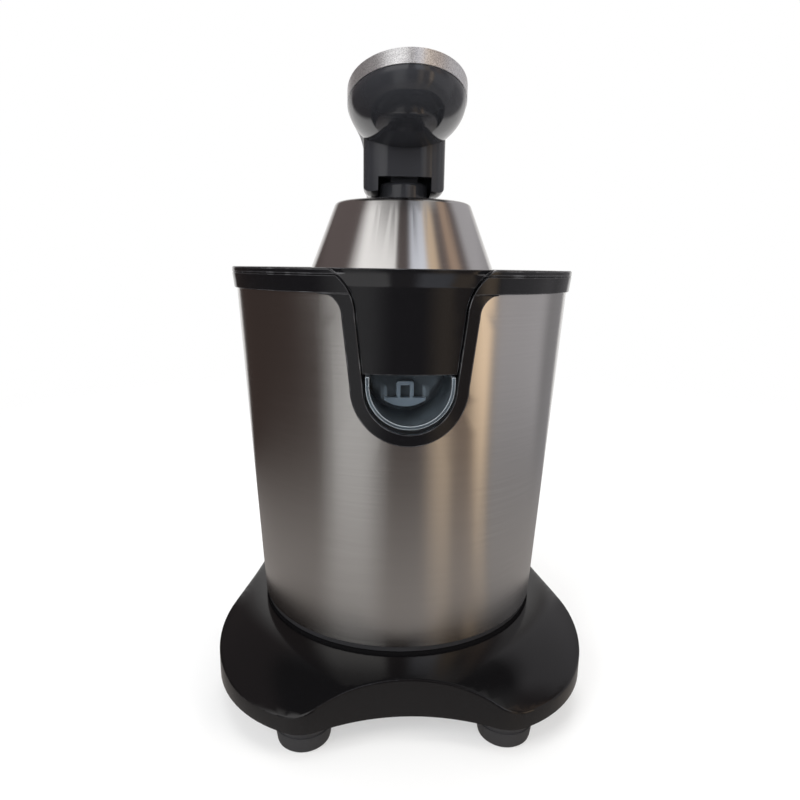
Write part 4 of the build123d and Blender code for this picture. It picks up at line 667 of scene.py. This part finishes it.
def smooth_twin(node, width):
    """A merged, smooth copy of a solid with rounded edges, which stands for it."""
    shape = merged_copy(node)
    strips = [face for face in shape.faces if len(face.verts) > MANY_CORNERS]
    bmesh.ops.triangulate(shape, faces=strips)
    twin = mesh_object(f"{node}_smooth", shape)
    stand_for(twin, node)
    rounding = twin.modifiers.new("edges", "BEVEL")
    rounding.width = width * MM
    rounding.segments = BEVEL_STEPS
    rounding.limit_method = "ANGLE"
    rounding.angle_limit = CREASE
    rounding.harden_normals = True
    rounding.loop_slide = False
    rounding.use_clamp_overlap = node not in FREE_EDGES
    if finish_of[node] in EDGE_FINISHES:
        twin.data.materials.append(EDGE_FINISHES[finish_of[node]].material)
        rounding.material = EDGE_SLOT


EDGE_WIDTHS = {                 # millimetres
    "base_shell": 0.4, "shell_gasket": 0.3, "steel_shell": 0.15, "top_collar": 0.4, "bowl_tray": 0.2,
    "juice_bowl": 0.4, "pulp_strainer": 0.2, "clear_spout": 0.25, "drip_gate": 0.3, "reamer": 0.3,
    "press_lid": 0.15, "press_cup": 0.3, "lid_hub": 0.5, "lever_arm": 0.4, "lever_cover": 0.6,
    "hinge_bracket": 0.7, "hinge_pin": 0.4, "cord_inlet": 0.4, "base_cover": 0.3, "lid_pivot_pin": 0.3,
}
for node, width in EDGE_WIDTHS.items():
    smooth_twin(node, width)
print("twins:", len(EDGE_WIDTHS))

# %% [markdown]
# ## Screw heads
# The screws that can be seen, at the back, under the base and inside the lid, have a six-sided socket
# for a key. A boolean cut would do it, but the top of each head is already one round face: it is
# inset, its corners are drawn on to a hexagon and it is pushed in, which leaves clean walls.

# %% Sockets
SOCKET_FLAT = 1.4 * MM          # from the middle to a flat
SOCKET_DEPTH = 1.1 * MM
SOCKET_START = 1.25 * SOCKET_FLAT    # the inset stops at this radius, before the corners are drawn in
SAME_WAY = 0.99                 # cosine between a head and the way it looks


def socket_screws(node, facing):
    """A smooth copy of a set of screws with a socket in each head; the heads look along facing."""
    shape = merged_copy(node)
    across = facing.orthogonal()
    along = facing.cross(across)
    heads = [
        face for face in shape.faces
        if face.normal.dot(facing) > SAME_WAY and len(face.verts) > MANY_CORNERS
    ]
    for face in heads:
        middle = face.calc_center_median()
        radius = min((vert.co - middle).length for vert in face.verts)
        bmesh.ops.inset_individual(shape, faces=[face], thickness=radius - SOCKET_START)
        for vert in face.verts:
            away = vert.co - middle
            angle = math.atan2(away.dot(along), away.dot(across))
            reach = SOCKET_FLAT / math.cos(angle % (math.pi / 3) - math.pi / 6)
            vert.co = middle + reach * (math.cos(angle) * across + math.sin(angle) * along)
        pushed = bmesh.ops.extrude_discrete_faces(shape, faces=[face])["faces"]
        bmesh.ops.translate(shape, verts=pushed[0].verts, vec=-SOCKET_DEPTH * facing)
    shade_smooth(shape)
    stand_for(mesh_object(f"{node}_socketed", shape), node)
    return len(heads)


DOWN = Vector((0, 0, -1))
BACK = Vector((0, 1, 0))
for node, facing in (("bracket_screws", BACK), ("cover_screws", DOWN), ("lid_screw", DOWN)):
    print(node, "heads:", socket_screws(node, facing))

# %% [markdown]
# ## Return spring
# The spring under the spindle is shorter when the reamer is pressed. A smooth copy stands for the solid; it
# keeps the solid's shape.

# %% Spring
low, high = (Vector(corner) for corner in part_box("return_spring"))
spring = mesh_object("return_spring_coil", merged_copy("return_spring"))
stand_for(spring, "return_spring")
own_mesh(spring)

# %% [markdown]
# ## Rubber feet
# A moulded foot has a groove round its top, where it snaps into the base, and rings on its sole that
# grip the table. It is a turned shape, so half of its section is spun; the sole keeps the height of
# the solid, because the press stands on it.

# %% Feet
FOOT_SECTION = (                # radius and height in millimetres
    (0, 0.7), (3.0, 0.7), (3.5, 0), (6.2, 0), (6.7, 0.7), (7.9, 0.7), (8.4, 0), (10.6, 0), (11.6, 0.25),
    (12.35, 1.0), (12.65, 2.0), (13.55, 8.6), (13.1, 8.9), (13.1, 9.9), (13.8, 10.2), (14.4, 14.0), (0, 14.0),
)
FOOT_STEPS = 56
low, high = (Vector(corner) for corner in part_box("rubber_feet"))
foot_radius = max(radius for radius, _ in FOOT_SECTION) * MM
shape = bmesh.new()
for x in (low.x + foot_radius, high.x - foot_radius):
    for y in (low.y + foot_radius, high.y - foot_radius):
        section = [(x + radius * MM, y, height * MM) for radius, height in FOOT_SECTION]
        spin(shape, section, (x, y, 0), FOOT_STEPS)
bmesh.ops.remove_doubles(shape, verts=shape.verts, dist=MERGE)
bmesh.ops.recalc_face_normals(shape, faces=shape.faces)
shade_smooth(shape)
feet = mesh_object("rubber_feet_ringed", shape)
stand_for(feet, "rubber_feet")
print("feet faces:", len(feet.data.polygons))
